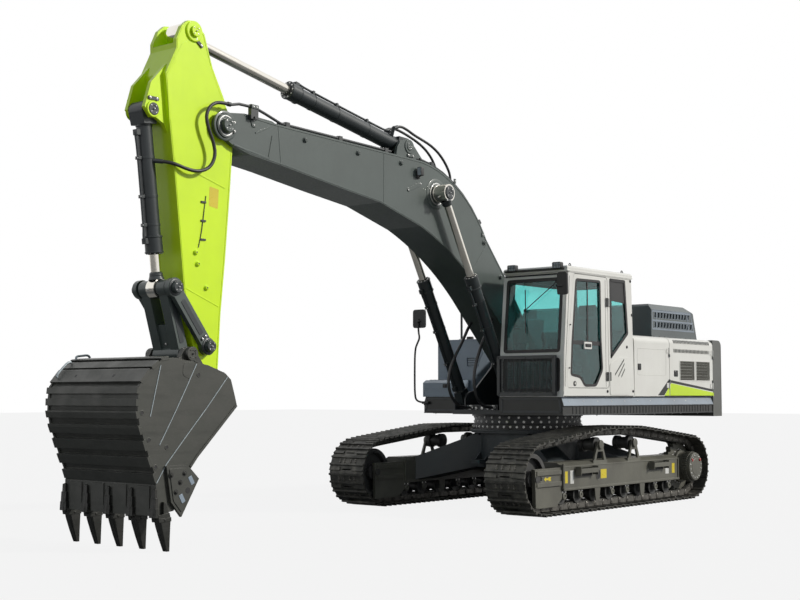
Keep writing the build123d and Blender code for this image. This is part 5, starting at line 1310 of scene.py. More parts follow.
def makeTankTrim(s):
    silver, dark, zinc, lidTread, latch, boxDark = newShapes(6)
    x, y, z = s["cap"]
    addTurned(silver, (x, y, z - .001), upward, [(0, .09), (.006, .09), (.009, .085), (.009, .06)], 36)
    addTurned(dark, (x, y, z), upward, [(0, .05), (.02, .05), (.026, .045), (.026, .02), (.03, .016)], 28)
    addBoltRing(zinc, (x, y, z + .006), upward, .074, 8, .009)
    for cx, cy, r in ((-1.2, -.95, .16), (-.65, -1.3, .1)):
        addTurned(silver, (cx, cy, s["top"]), upward, [(0, r), (.008, r), (.012, r - .006)], 40)
        addBoltRing(zinc, (cx, cy, 2.3405), upward, r - .025, 10, .01, .5)
    x, y, z = s["fuelCap"]
    addTurned(dark, (x, y, z - .001), upward, [(0, .075), (.012, .075), (.018, .068), (.018, .055), (.05, .052),
        (.056, .045)], 32)
    # front face of the fuel tank: weld seams, level gauge, recess lip
    addFrame(silver, roundRect(-.965, -.735, 1.925, 2.065, .012), .008,
        lambda a, b, h: (s["front"] + h, a, b), .005)
    addFrame(silver, [(-1.49, 1.492), (-.84, 1.492), (-.84, 1.79), (-.667, 2.141), (-.79, 2.322),
        (-1.456, 2.322), (-1.49, 2.295)], .008, lambda a, b, h: (s["front"] + h, a, b), .004)
    for z in (1.95, 1.985, 2.02, 2.05):
        addBar(dark, (.143, -.95, z), (.143, -.75, z), .004, 8)
    for x in (.09, -.4):
        addTurned(zinc, (x, -1.1, s["top"]), upward, [(0, .042), (.009, .042), (.013, .036), (.013, .02)], 28)
        for dx, dy in ((.03, 0), (-.03, 0), (0, .03), (0, -.03)):
            addBolt(zinc, (x + dx, -1.1 + dy, 2.341), upward, .006)
    # step brackets on the outer side
    for z in (1.62, 1.93):
        addPrism(dark, rect(-.25, .05, z, z + .012), -1.512, -bodySide)
    finishAll(upper, [
        (silver, "tankPressings", "tankSilver", "tank_silver", .002, 1),
        (dark, "tankCaps", "plasticBlack", "bearing_black", .002, 2),
        (zinc, "tankBolts", "zincSteel", "tank_silver"),
    ])
    # tread plate with raised bars on the box lid
    addBlock(lidTread, (.19, .43), (-1.44, -.955), (s["lidTop"], 1.734))
    for i in range(7):
        for j in range(13):
            bx, by, turn = .205 + i * .035, -1.42 + j * .037, (.7 if (i + j) % 2 else -.7)
            dx, dy = .011 * cos(turn), .011 * sin(turn)
            addPrism(lidTread, [(bx - dx - dy * .3, by - dy + dx * .3), (bx - dx + dy * .3, by - dy - dx * .3),
                (bx + dx + dy * .3, by + dy - dx * .3), (bx + dx - dy * .3, by + dy + dx * .3)],
                1.7338, 1.737, "z")
    finishPiece(lidTread, "boxTread", "charcoal", "tool_box_lid", "tank_silver", .001, 1)
    addPrism(latch, roundRect(-1.125, -1.045, 1.615, 1.672, .012), s["boxFront"], .526, "x")
    addPrism(latch, roundRect(-1.105, -1.065, 1.628, 1.665, .008), .5255, .534, "x")
    for y in (-1.35, -1.05):
        addBlock(latch, (.17, .215), (y - .035, y + .035), (s["lidTop"], 1.7345))
    finishPiece(latch, "boxLatch", "plasticBlack", "tool_box_lid", "bearing_black", .0015, 2)
    addFrame(boxDark, roundRect(-1.47, -.925, 1.5, 1.588, .02), .006,
        lambda a, b, h: (s["boxFront"] + h, a, b), .003)
    finishPiece(boxDark, "boxPressing", "tankSilver", upper, "tank_silver", .001, 1)


makeTankTrim(tank)
print("bodywork dressed")


def arcThrough(first, middle, last, count=10):
    (x1, z1), (x2, z2), (x3, z3) = first, middle, last
    d = 2 * (x1 * (z2 - z3) + x2 * (z3 - z1) + x3 * (z1 - z2))
    a, b, c = x1 * x1 + z1 * z1, x2 * x2 + z2 * z2, x3 * x3 + z3 * z3
    cx = (a * (z2 - z3) + b * (z3 - z1) + c * (z1 - z2)) / d
    cz = (a * (x3 - x2) + b * (x1 - x3) + c * (x2 - x1)) / d
    start = atan2(z1 - cz, x1 - cx)
    turn = remainder(atan2(z3 - cz, x3 - cx) - start, 2 * pi)
    reach = dist((cx, cz), first)
    return [(cx + reach * cos(start + turn * i / count), cz + reach * sin(start + turn * i / count))
        for i in range(count + 1)]


def addCap(bm, bolts, place, side, radius, count=4):
    # pin end: a stepped disc with a ring of bolts and a grease nipple
    x, y, z = place
    addTurned(bm, place, side, [(0, radius), (radius * .09, radius), (radius * .15, radius * .93),
        (radius * .15, radius * .5), (radius * .1, radius * .46), (radius * .1, radius * .12)], 40)
    addBoltRing(bolts, (x, y + side * radius * .14, z), side, radius * .7, count, radius * .12, .5)
    addTurned(bolts, (x, y + side * radius * .1, z), side,
        [(0, .009), (.01, .009), (.013, .005), (.02, .005)], 8)


def addKeeper(bm, bolts, place, side, wide, high, turn=0.0):
    # a keeper plate held by two bolts, square to its pin
    x, y, z = place
    addPrism(bm, rounded(turnedRect(x, z, wide / 2, high / 2, turn), .012), *sorted((y, y + side * .014)))
    reach = max(wide, high) * .32
    c, k = cos(turn), sin(turn)
    ux, uz = (c, k) if wide > high else (-k, c)
    for sign in (-1, 1):
        addBolt(bolts, (x + ux * reach * sign, y + side * .014, z + uz * reach * sign), side, .014)


def insetLine(points, distance):
    # an open line moved to its left by a distance
    result = []
    for i, p in enumerate(points):
        before, after = points[max(i - 1, 0)], points[min(i + 1, len(points) - 1)]
        run = dist(before, after)
        result.append((p[0] - (after[1] - before[1]) / run * distance,
            p[1] + (after[0] - before[0]) / run * distance))
    return result


boom = {"half": .275, "bead": .018, "bracket": (2.883, .152, 4.672), "tip": (6.191, 4.4),
    "eye": (2.48, 4.095), "foot": (.22, 1.95),
    "under": [(.36, 1.828), (1.415, 2.811)] + arcThrough((1.415, 2.811), (2.1, 3.312),
    (2.8, 3.645))[1:] + [(3.6, 3.862), (4.377, 3.957), (5.256, 4.076), (5.809, 4.138), (6.062, 4.202)],
    "over": [(.09, 2.08), (.898, 3.092)] + arcThrough((1.378, 3.613), (1.85, 4.13),
    (2.776, 4.488)) + [(4.38, 4.523), (5.432, 4.547), (5.9, 4.58)],
    "bosses": ((4.942, 4.433), (4.016, 4.415), (3.198, 4.405), (1.428, 3.557), (1.05, 3.12)),
    "seams": (((5.33, 4.088), (5.38, 4.545)), ((3.529, 3.845), (3.529, 4.503)), ((1.748, 3.09), (1.36, 3.56)),
    ((.96, 2.39), (.62, 2.72))), "brace": [(2.816, 4.188), (3.059, 4.081)],
    "nose": (((5.738, 4.391), (5.513, 4.495)), ((6.065, 4.214), (5.528, 4.137)), ((5.528, 4.137), (5.47, 4.4)))}


def makeBoomTrim(s):
    iron, zinc, dark, ring = newShapes(4)
    for side in (-1, 1):
        face = side * s["half"]
        low, high = skin(face, side, .001, .0045)
        addRidge(iron, insetLine(s["under"], s["bead"]), .013, low, high)
        addRidge(iron, insetLine(s["over"], -s["bead"]), .013, low, high)
        for a, b in s["seams"]:
            addRidge(iron, [a, b], .014, *skin(face, side, .001, .003))
        for a, b in s["nose"]:
            addRidge(iron, [a, b], .02, *skin(face, side, .001, .006))
        for x, z in s["bosses"]:
            addTurned(iron, (x, face, z), side, [(0, .034), (.006, .034), (.01, .026), (.024, .026),
                (.028, .022), (.028, .012)], 26)
            # dark disc: painted shade in the boss's hole
            addTurned(dark, (x, face + side * .0275, z), side, [(0, .011), (.001, .011)], 16)
        # boss round the lift cylinders' pin: a thin bright ring inside a welded collar
        x, z = s["eye"]
        addTurned(iron, (x, face - side * .001, z), side, [(0, .2), (.006, .2), (.009, .192), (.009, .15)], 64)
        addRing(ring, (x, face, z), side, .0135, .0155, .128, .146, 64)
        # nose: collars round the arm pin, its cap and keeper
        x, z = s["tip"]
        addTurned(iron, (x, face, z), side, [(0.0, .135), (0.0, .165), (.005, .165), (.009, .158),
            (.009, .135)], 64, True)
        addRing(ring, (x, face + side * .022, z), side, 0.0, .003, .1, .112, 64)
        addCap(iron, zinc, (x, side * .34, z), side, .078, 4)
        addKeeper(iron, zinc, (x - .108, side * .297, z), side, .034, .15)
        # foot end: boss plate and lubrication block
        x, z = s["foot"]
        addRing(iron, (x, face - side * .001, z), side, 0, .004, .062, .15, 48)
        addBlock(dark, (.6, .72), skin(face, side, .001, .03), (2.42, 2.47))
        for i in range(4):
            addTurned(zinc, (.62 + .026 * i, face + side * .03, 2.445), side,
                [(0, .007), (.008, .007), (.016, .004)], 8)
        if side > 0:
            addRidge(iron, s["brace"], .05, face - .001, face + .008)
            for x, z in s["brace"]:
                addBolt(zinc, (x, face + .008, z), 1, .013)
        # bracket plates of the arm cylinder: rim, boss and cap
        x, plate, z = s["bracket"]
        addTurned(iron, (x, side * plate, z), side, [(0, .09), (.008, .09), (.012, .084), (.012, .05)], 44)
        addCap(iron, zinc, (x, side * .164, z), side, .056, 3)
        addKeeper(iron, zinc, (x - .02, side * plate, z - .115), side, .13, .036)
        # clamps on the pipes that pass over the side's edge
        for x, z, turn in ((2.085, 4.33, .48), (1.462, 3.68, .85)):
            addBlock(iron, (x - .02, x + .02), span(side, .2735, .287), (z - .045, z + .015))
            addBolt(zinc, (x, side * .287, z - .018), side, .012)
    # bolts on the pipe clamps along the top
    for x, z in ((3.45, 4.561), (4.3, 4.5794), (5.2, 4.6)):
        for y in (-.211, .211):
            for dx in (-.014, .014):
                addBolt(zinc, (x + dx, y, z), upward, .01)
    # clamp and bracket beside the nose
    addBlock(iron, (5.742, 5.848), (.3255, .333), (4.645, 4.688))
    addBolt(zinc, (5.77, .333, 4.665), 1, .012)
    addBolt(zinc, (5.82, .333, 4.665), 1, .012)
    addPrism(iron, rounded([(5.84, 4.6), (5.735, 4.6), (5.735, 4.45), (5.79, 4.45)], .012), .274, .284)
    for x, z in ((5.765, 4.475), (5.765, 4.53)):
        addBolt(zinc, (x, .284, z), 1, .012)
    # backing strips and step cleats on the boom's top
    for x in (3.0, 3.9, 4.75):
        addBlock(iron, (x - .11, x + .11), (-.12, .12), (4.5, 4.532 + (x - 3) * .012))
    finishAll("boom", [
        (iron, "boomTrim", "boomGrey", "boom_green_grey", .002, 2),
        (zinc, "boomBolts", "zincSteel", "boom_green_grey"),
        (dark, "boomHoles", "plasticBlack", "bearing_black", .003, 2),
        (ring, "boomRings", "zincSteel", "rod_chrome"),
    ])


makeBoomTrim(boom)

boomLamp = {"x": (2.83, 2.9), "y": (.295, .36), "z": (4.28, 4.39)}


def makeBoomLamp(s):
    shell, lens = newShapes(2)
    (x0, x1), (y0, y1), (z0, z1) = s["x"], s["y"], s["z"]
    addPrism(shell, roundRect(y0, y1, z0, z1, .014), x0 + .012, x1 - .003, "x")
    addPrism(shell, roundRect(y0 + .012, y1 - .012, z0 + .02, z1 - .02, .01), x0, x0 + .014, "x")
    for i in range(5):
        z = z0 + .02 + i * .0175
        addBlock(shell, (x0 + .002, x0 + .016), (y0 + .006, y1 - .006), (z - .003, z + .003))
    addBlock(shell, (2.835, 2.895), (.2755, .297), (4.25, 4.262))
    addBlock(shell, (2.835, 2.895), (.2755, .282), (4.25, 4.35))
    addBar(shell, (2.865, .29, 4.262), (2.865, .33, 4.283), .008, 12)
    addPrism(lens, roundRect(y0 + .006, y1 - .006, z0 + .006, z1 - .006, .01), x1 - .0032, x1, "x")
    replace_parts(finishPiece(shell, "boomLampBody", "plasticBlack", "boom", "bearing_black", .002, 2),
        "boom_lamp")
    finishPiece(lens, "boomLampLens", "lampGlass", "boom", "tinted_glass")


makeBoomLamp(boomLamp)

cylinders = {
    "boom_cylinder": {
        "foot": (1.0, 1.45), "head": (2.48, 4.095), "long": 1.85, "outer": .08, "rod": .05, "eye": .0992,
        "y": (-.398, .398), "footHalf": .06, "headHalf": .095, "away": -1, "cap": .085},
    "arm_cylinder": {
        "foot": (2.883, 4.672), "head": (6.595, 5.356), "long": 2.11, "outer": .095, "rod": .057, "eye": .1178,
        "y": (0.0,), "footHalf": .105, "headHalf": .1, "away": 1, "cap": 0},
    "bucket_cylinder": {
        "foot": (7.095, 4.447), "head": (6.87, 2.613), "long": 1.48, "outer": .0825, "rod": .055, "eye": .1023,
        "y": (0.0,), "footHalf": .108, "headHalf": .062, "away": 1, "cap": 0},
}


def addPrismAt(bm, base, u, up, along, lift, aside):
    # a small block on a cylinder, its corners given along, away from and beside the axis
    base, u, up, out = Vector(base), Vector(u), Vector(up), Vector((0, 1, 0))
    made = []
    for a in along:
        for corner in ((lift[0], aside[0]), (lift[1], aside[0]), (lift[1], aside[1]), (lift[0], aside[1])):
            made.append(bm.verts.new(base + u * a + up * corner[0] + out * corner[1]))
    bm.faces.new(made[:4])
    bm.faces.new(made[4:][::-1])
    for i in range(4):
        j = (i + 1) % 4
        bm.faces.new((made[i], made[4 + i], made[4 + j], made[j]))


def makeCylinderTrim(name, s):
    iron, zinc, seal, rodIron, rodZinc = newShapes(5)
    (x1, z1), (x2, z2) = s["foot"], s["head"]
    run = dist(s["foot"], s["head"])
    u = Vector(((x2 - x1) / run, 0, (z2 - z1) / run))
    up = Vector((-u.z, 0, u.x)) * s["away"]
    long, outer = s["long"], s["outer"]
    for y in s["y"]:
        base = Vector((x1, y, z1))

        def spot(reach, lift=0.0, aside=0.0):
            return tuple(base + u * reach + up * lift + Vector((0, aside, 0)))
        # gland: lock ring, bolts and wiper
        addTurned(iron, spot(long - .02), u, [(0, outer + .01), (0, outer + .016), (.014, outer + .016),
            (.018, outer + .01)], 48, True)
        addTurned(iron, spot(long - .176), u, [(0, outer), (0, outer + .016), (.012, outer + .016),
            (.018, outer + .01)], 48, True)
        for i in range(10):
            a = 2 * pi * i / 10
            reach = (outer + s["rod"]) / 2 + .012
            out = Vector((0, 1, 0)) * cos(a) * reach + up * sin(a) * reach
            addBolt(zinc, tuple(Vector(spot(long)) + out), u, .011)
        addTurned(seal, spot(long - .001), u, [(0, s["rod"] + .001), (0, s["rod"] + .014),
            (.01, s["rod"] + .011), (.014, s["rod"] + .001)], 40, True)
        # weld collar above the foot eye
        addTurned(iron, spot(s["eye"] + .045), u, [(0, outer - .002), (.004, outer + .006),
            (.014, outer + .006), (.02, outer - .002)], 48, True)
        # ports, pipe along the barrel and its straps
        lift = outer + .03
        addPrismAt(iron, spot(long - .13), u, up, (-.03, .03), (outer - .01, outer + .046), (-.032, .032))
        addPrismAt(iron, spot(s["eye"] + .12), u, up, (-.03, .03), (outer - .01, outer + .046), (-.032, .032))
        addPipe(iron, [spot(long - .13, lift + .012), spot(long - .2, lift + .012),
            spot(long - .26, lift), spot(s["eye"] + .3, lift), spot(s["eye"] + .2, lift + .006),
            spot(s["eye"] + .12, lift + .012)], .014)
        for share in (.33, .6, .8):
            at = long * share
            addRing(iron, spot(at), u, -.014, .014, outer - .001, outer + .004, 44)
            addPrismAt(iron, spot(at), u, up, (-.017, .017), (outer, lift + .018), (-.026, .026))
            for aside in (-.017, .017):
                addBolt(zinc, spot(at, lift + .018, aside), tuple(up), .008)
        # eyes: bush faces and grease nipples
        for side in (-1, 1):
            addRing(iron, (x1, y + side * s["footHalf"], z1), side,
                -.001, .003, s["eye"] * .62, s["eye"] * .9, 44)
            addRing(rodIron, (x2, y + side * s["headHalf"], z2), side, -.001, .004, .06, .092, 44)
        addTurned(rodIron, spot(run - .175), u, [(0, s["rod"] + .001), (.015, s["rod"] + .014),
            (.05, s["rod"] + .016), (.085, s["rod"] + .03)], 40, True)
        addTurned(rodZinc, spot(run, 0, 0), tuple(up),
            [(.1, .012), (.126, .012), (.13, .006), (.142, .006)], 10)
        if s["cap"]:
            side = 1 if y > 0 else -1
            addCap(rodIron, rodZinc, (x2, y + side * (s["headHalf"] + .001), z2), side, s["cap"], 4)
            addKeeper(rodIron, rodZinc, (x2 + .06 * u.x, y + side * (s["headHalf"] + .001), z2 - .1), side,
                .12, .03)
    finishAll(name + "_barrel", [
        (iron, name + "Trim", "cylinderGrey", "boom_green_grey", .002, 2),
        (zinc, name + "Bolts", "zincSteel", "boom_green_grey"),
        (seal, name + "Wiper", "gasketRubber", "hose_rubber"),
    ])
    finishPiece(rodIron, name + "EyeTrim", "cylinderGrey", name + "_rod", "boom_green_grey", .002, 2)
    finishPiece(rodZinc, name + "EyeBolts", "zincSteel", name + "_rod", "rod_chrome")


for cylinderName, settings in cylinders.items():
    makeCylinderTrim(cylinderName, settings)
print("boom and cylinders dressed")

arm = {"half": .21, "pin": (6.595, 5.356), "cylinder": (7.095, 4.447),
    "tip": (6.325, 1.69), "outline": [(6.579, 5.474), (6.441, 5.358), (6.384, 5.19), (6.317, 5.008),
    (6.154, 4.689), (6.087, 4.567), (6.016, 4.234), (6.048, 3.74), (6.112, 2.959), (6.171, 2.374),
    (6.203, 1.781), (6.23, 1.62), (6.3, 1.572), (6.38, 1.585), (6.44, 1.66), (6.493, 1.872), (6.564, 2.039),
    (6.674, 2.499), (6.826, 3.753), (6.904, 4.277), (6.974, 4.841), (6.831, 5.139), (6.833, 5.234),
    (6.765, 5.385), (6.68, 5.46)], "cheek": [(6.144, 4.695), (6.317, 5.009), (6.597, 5.238), (6.682, 5.241),
    (6.749, 5.204), (6.927, 4.91), (6.952, 4.804), (6.937, 4.609), (6.867, 4.112), (6.828, 3.931),
    (6.123, 3.737), (6.06, 4.234), (6.11, 4.567)], "bosses": ((6.536, 3.005), (6.506, 2.886), (6.382, 2.64))}


def makeArmTrim(s):
    lime, zinc, dark, label = newShapes(4)
    for side in (-1, 1):
        face = side * s["half"]
        low, high = skin(face, side, .001, .003)
        loop = shrunk(s["outline"], .016)
        addRidge(lime, loop + loop[:1], .011, low, high)
        addPrism(lime, rounded(s["cheek"], .03), *skin(face, side, .001, .0022))
        addRidge(lime, [(6.828, 3.931), (6.123, 3.737)], .016, *skin(face, side, 0, .0035))
        addRidge(lime, [(6.66, 2.62), (6.2, 2.45)], .013, *skin(face, side, .001, .003))
        for x, z in s["bosses"]:
            addTurned(lime, (x, face, z), side, [(0, .03), (.006, .03), (.01, .022), (.022, .022), (.026, .018),
                (.026, .01)], 24)
            # dark disc: painted shade in the boss's hole
            addTurned(dark, (x, face + side * .0255, z), side, [(0, .009), (.001, .009)], 14)
        # top pin: raised boss, cap, keeper
        x, z = s["pin"]
        addTurned(lime, (x, face - side * .001, z), side, [(0, .052), (0, .112), (.016, .112), (.022, .105),
            (.022, .052)], 52, True)
        addCap(lime, zinc, (x, side * .25, z), side, .062, 4)
        addKeeper(dark, zinc, (6.53, face, 5.25), side, .14, .036, .65)
        # tip pins
        x, z = s["tip"]
        addTurned(lime, (x, face, z), side, [(0, .058), (0, .1), (.007, .1), (.01, .095), (.01, .058)],
            48, True)
        # bucket cylinder's plates: boss, cap and keeper
        x, z = s["cylinder"]
        addTurned(lime, (x, side * .16, z), side, [(0, .05), (0, .086), (.012, .086), (.016, .08), (.016, .05)],
            44, True)
        addCap(dark, zinc, (x, side * .172, z), side, .066, 4)
        addKeeper(dark, zinc, (x, side * .16, z + .112), side, .14, .036)
        addRidge(lime, [(6.837, 5.023), (6.95, 4.82), (6.908, 4.356)], .02, *skin(face, side, 0, .004))
    # blank label field and the lubrication lines on the near side
    addPrism(label, rounded([(6.225, 3.5), (6.355, 3.52), (6.345, 3.73), (6.215, 3.71)], .012), .2095, .2112)
    addPipe(dark, ((6.5, .214, 3.06), (6.46, .216, 3.2), (6.42, .215, 3.5), (6.4, .215, 3.62)), .0045)
    for z in (3.15, 3.35, 3.55):
        addBlock(dark, (6.4, 6.47), (.2095, .2215), (z - .01, z + .01))
    finishAll("arm", [
        (lime, "armTrim", "armLime", "arm_lime", .0015, 2),
        (zinc, "armBolts", "zincSteel", "arm_lime"),
        (dark, "armFittings", "cylinderGrey", "bearing_black", .002, 2),
        (label, "armLabel", "reflectYellow", "arm_lime"),
    ])


makeArmTrim(arm)

linkage = {"rocker": (6.405, 2.018), "head": (6.87, 2.613), "foot": (6.665, 1.933), "outer": .335,
    "side": .2835, "linkSide": .2015}


def ribAlong(start, end, near, far, half=.03):
    # the rounded rib pressed between two pins of a bar
    (x1, z1), (x2, z2) = start, end
    run = dist(start, end)
    ux, uz = (x2 - x1) / run, (z2 - z1) / run
    rib = [(x1 + ux * r - uz * w, z1 + uz * r + ux * w) for r, w in rect(near, run - far, half, -half)]
    return rounded(rib, .02), start, (ux, uz)


def makeLinkTrim(s):
    iron, zinc, linkIron, linkZinc = newShapes(4)
    for side in (-1, 1):
        for x, z in (s["rocker"], s["head"]):
            addCap(iron, zinc, (x, side * s["outer"], z), side, .06, 4)
            addTurned(iron, (x, side * s["side"], z), side, [(0, .064), (0, .088), (.006, .088), (.009, .082),
                (.009, .064)], 44, True)
        rib, (x, z), (ux, uz) = ribAlong(s["rocker"], s["head"], .16, .16)
        addPrism(iron, rib, *span(side, s["side"], .2885))
        addKeeper(iron, zinc, (x + ux * .115, side * .284, z + uz * .115), side, .028, .085, atan2(uz, ux))
        rib, (x, z), _ = ribAlong(s["foot"], s["head"], .12, .13)
        addPrism(linkIron, rib, *span(side, s["linkSide"], .206))
        addRing(linkIron, (x, side * s["linkSide"], z), side, 0, .005, .054, .076, 40)
    for y in (-.13, 0.0, .13):
        addBolt(linkZinc, (6.7425, y, 2.04), (.95, 0, -.29), .014)
    finishPiece(iron, "rockerTrim", "cylinderGrey", "rocker_links", "boom_green_grey", .002, 2)
    finishPiece(zinc, "rockerBolts", "zincSteel", "rocker_links", "boom_green_grey")
    finishPiece(linkIron, "linkTrim", "cylinderGrey", "connecting_link", "boom_green_grey", .002, 2)
    finishPiece(linkZinc, "linkBolts", "zincSteel", "connecting_link", "boom_green_grey")


makeLinkTrim(linkage)

bucket = {"half": .71, "wall": .03, "cutter": .75, "teeth": (-.7, -.35, 0.0, .35, .7),
    "ear": (.224, .284, .324), "mouth": [(7.231, .384), (7.009, .79), (6.92, .892), (6.392, 1.391),
    (6.425, 1.501), (6.481, 1.666), (6.557, 1.727), (6.663, 1.765), (6.8, 1.809), (6.954, 1.845)],
    "lip": [(7.452, .354), (7.457, .647)], "back": [(7.457, .66), (7.497, .766), (7.556, .9), (7.625, 1.078),
    (7.673, 1.195), (7.708, 1.341), (7.706, 1.472), (7.69, 1.603), (7.561, 1.751), (7.401, 1.868),
    (7.255, 1.89), (6.954, 1.845)], "inner": [(7.385, .36), (7.385, .5), (7.425, .655), (7.466, .78),
    (7.525, .915), (7.592, 1.09), (7.642, 1.21), (7.675, 1.345), (7.673, 1.465), (7.655, 1.59), (7.54, 1.725),
    (7.39, 1.832), (7.252, 1.855), (6.962, 1.812), (6.812, 1.776), (6.675, 1.733), (6.58, 1.698), (6.512, 1.65),
    (6.458, 1.495), (6.42, 1.38)], "earLine": [(6.26, 1.59), (6.23, 1.69), (6.27, 1.78), (6.48, 1.835),
    (6.58, 1.96), (6.625, 2.01), (6.74, 1.99), (6.79, 1.9), (6.96, 1.83), (6.66, 1.745), (6.56, 1.712),
    (6.495, 1.655), (6.44, 1.5), (6.42, 1.47)], "cutterLine": [(7.355, .822), (7.105, .825), (7.03, .775),
    (6.932, .683), (7.157, .321), (7.29, .47)], "straps": ((0.0, .1), (.171, .275), (.339, .445), (.506, .602),
    (.667, .738), (.789, .86), (.908, .972), (1.033, 1.2), (1.228, 1.335), (1.37, 1.47)), "plateIn": .014,
    "shellIn": .026, "strapOut": .009, "welds": ([(7.417, 1.797), (7.539, 1.303)],
    [(6.955, 1.819), (7.072, 1.609), (7.231, 1.334), (7.421, 1.025)],
    [(6.534, 1.691), (6.808, 1.386), (7.047, 1.139), (7.33, .84)], [(7.33, .84), (7.452, .66)]),
    "holes": ((7.64, 1.338), (7.551, 1.076), (7.329, 1.002), (7.464, .815), (6.926, 1.711)),
    "cutterBolts": ((7.3, .732), (7.131, .742), (7.184, .658), (7.239, .566)),
    "patches": ((7.042, .672), (7.16, .501)), "patchTurn": 1.05, "notch": (7.085, .575)}


def stretchOf(points, first, last):
    # the part of an open line between two distances along it
    result, gone = [], 0.0
    for a, b in zip(points, points[1:]):
        run = dist(a, b)
        for limit in (first, last):
            if gone <= limit < gone + run:
                t = (limit - gone) / run
                result.append((a[0] + (b[0] - a[0]) * t, a[1] + (b[1] - a[1]) * t))
        if first < gone + run < last:
            result.append(b)
        gone += run
    return result


def makeBucket(s):
    iron, weld, bolts, dark, bright = newShapes(5)
    plate = insetLine(s["back"], s["plateIn"])
    for side in (-1, 1):
        low, high = span(side, s["half"] - s["wall"], s["half"])
        addPrism(iron, s["mouth"][:-1] + plate[::-1] + s["lip"][::-1], low, high)
    # curved shell, thinner between the wear straps
    outer = s["lip"] + insetLine(s["back"], s["shellIn"])[1:-1] + s["mouth"][:2:-1] + [s["mouth"][3]]
    for a, b, c, d in zip(outer, outer[1:], s["inner"][1:], s["inner"]):
        addPrism(iron, [a, b, c, d], -s["half"] + s["wall"] - .001, s["half"] - s["wall"] + .001)
    for first, last in s["straps"]:
        line = stretchOf(s["back"], first, last)
        top, foot = insetLine(line, -s["strapOut"]), insetLine(line, s["shellIn"] + .004)
        for a, b, c, d in zip(top, top[1:], foot[1:], foot):
            addPrism(iron, [a, b, c, d], -s["half"] - .002, s["half"] + .002)
    for side in (-1, 1):
        face = side * s["half"]
        # the weld beads take a pale bluish finish: a painted highlight on them
        for line in s["welds"]:
            addRidge(weld, line, .009, *skin(face, side, .001, .005))
        addRidge(iron, insetLine(s["mouth"][1:4], -.02)[::-1], .026, *skin(face, side, .001, .009))
        addPrism(iron, rounded([(6.98, 1.83), (7.12, 1.84), (7.14, 1.7), (7.02, 1.66)], .05),
            *skin(face, side, 0, .003))
        for x, z in s["holes"]:
            # dark disc: painted shade in each hole
            addTurned(dark, (x, face, z), side, [(-.001, .017), (.0012, .017)], 22)
            addTurned(iron, (x, face, z), side, [(-.001, .018), (-.001, .026), (.003, .024), (.003, .018)],
                22, True)
        # bolt-on side cutter with a raised rim, a notch and two cast pads
        low, high = sorted((face, side * (s["cutter"] - .008)))
        addPrism(iron, s["cutterLine"], low, high)
        addPrism(iron, rounded(shrunk(s["cutterLine"], .028), .02),
            *span(side, s["cutter"] - .009, s["cutter"]))
        for x, z in s["cutterBolts"]:
            # dark disc under each bolt: painted shade in its recess
            addTurned(dark, (x, side * s["cutter"], z), side, [(-.001, .027), (.003, .027)], 20)
            addBolt(bolts, (x, side * (s["cutter"] + .002), z), side, .022)
        for x, z in s["patches"]:
            box = turnedRect(x, z, .045, .024, s["patchTurn"])
            addPrism(bright, rounded(box, .008), *span(side, s["cutter"] - .001, s["cutter"] + .004))
        x, z = s["notch"]
        # dark disc: painted shade in the notch
        addTurned(dark, (x, side * s["cutter"], z), side, [(-.001, .03), (.0015, .03)], 24)
        # ears, doubling plates, pins and keepers
        low, high, cap = s["ear"]
        addPrism(iron, s["earLine"], *span(side, low, high))
        for x, z, radius in ((6.325, 1.69, .085), (6.665, 1.933, .075)):
            addTurned(iron, (x, side * high, z), side, [(0, radius), (cap - high, radius)], 40)
            addCap(iron, bolts, (x, side * cap, z), side, radius, 4)
        addKeeper(iron, bolts, (6.45, side * high, 1.745), side, .034, .11, .3)
        for y in (low - .003, high + .003):
            addBar(iron, (6.96, side * y, 1.851), (6.6, side * y, 1.745), .009, 8)
    for x, z, radius, reach in ((6.325, 1.69, .055, .284), (6.665, 1.933, .05, .284)):
        addBar(iron, (x, -reach, z), (x, reach, z), radius, 32)
    # plate over the top between the ears, and lip guards between the teeth
    addPrism(iron, [(6.56, 1.727), (6.96, 1.843), (6.955, 1.853), (6.552, 1.737)], -.69, .69)
    for y in (-.525, -.175, .175, .525):
        addPrism(iron, [(7.445, .345), (7.464, .345), (7.466, .63), (7.452, .64)], y - .1, y + .1)
    # long loop handles welded along the shell's far edge, and drain slots
    # the handles take the same pale finish, a painted highlight on them
    for points in (((7.64, 1.685), (7.66, 1.7), (7.575, 1.79), (7.5, 1.855), (7.47, 1.84)),
            ((7.41, 1.878), (7.425, 1.905), (7.34, 1.915), (7.25, 1.925), (7.24, 1.895))):
        addPipe(weld, [(x, -.62, z) for x, z in points], .012)
    # each drain slot is a dark patch of painted shade
    for y in (-.35, .25):
        addPrism(dark, [(7.6, 1.706), (7.62, 1.684), (7.628, 1.69), (7.608, 1.713)], y - .012, y + .012)
    body = finishPiece(iron, "bucketBody", "bucketSteel", "bucket", "bucket_brown", .0035, 2)
    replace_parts(body, "bucket")
    finishAll("bucket", [
        (weld, "bucketWelds", "weldPale", "bucket_brown"),
        (bolts, "bucketBolts", "toothSteel", "bucket_brown"),
        (dark, "bucketHoles", "gasketRubber", "bucket_brown"),
        (bright, "cutterPads", "tankSilver", "bucket_brown", .003, 2),
    ])


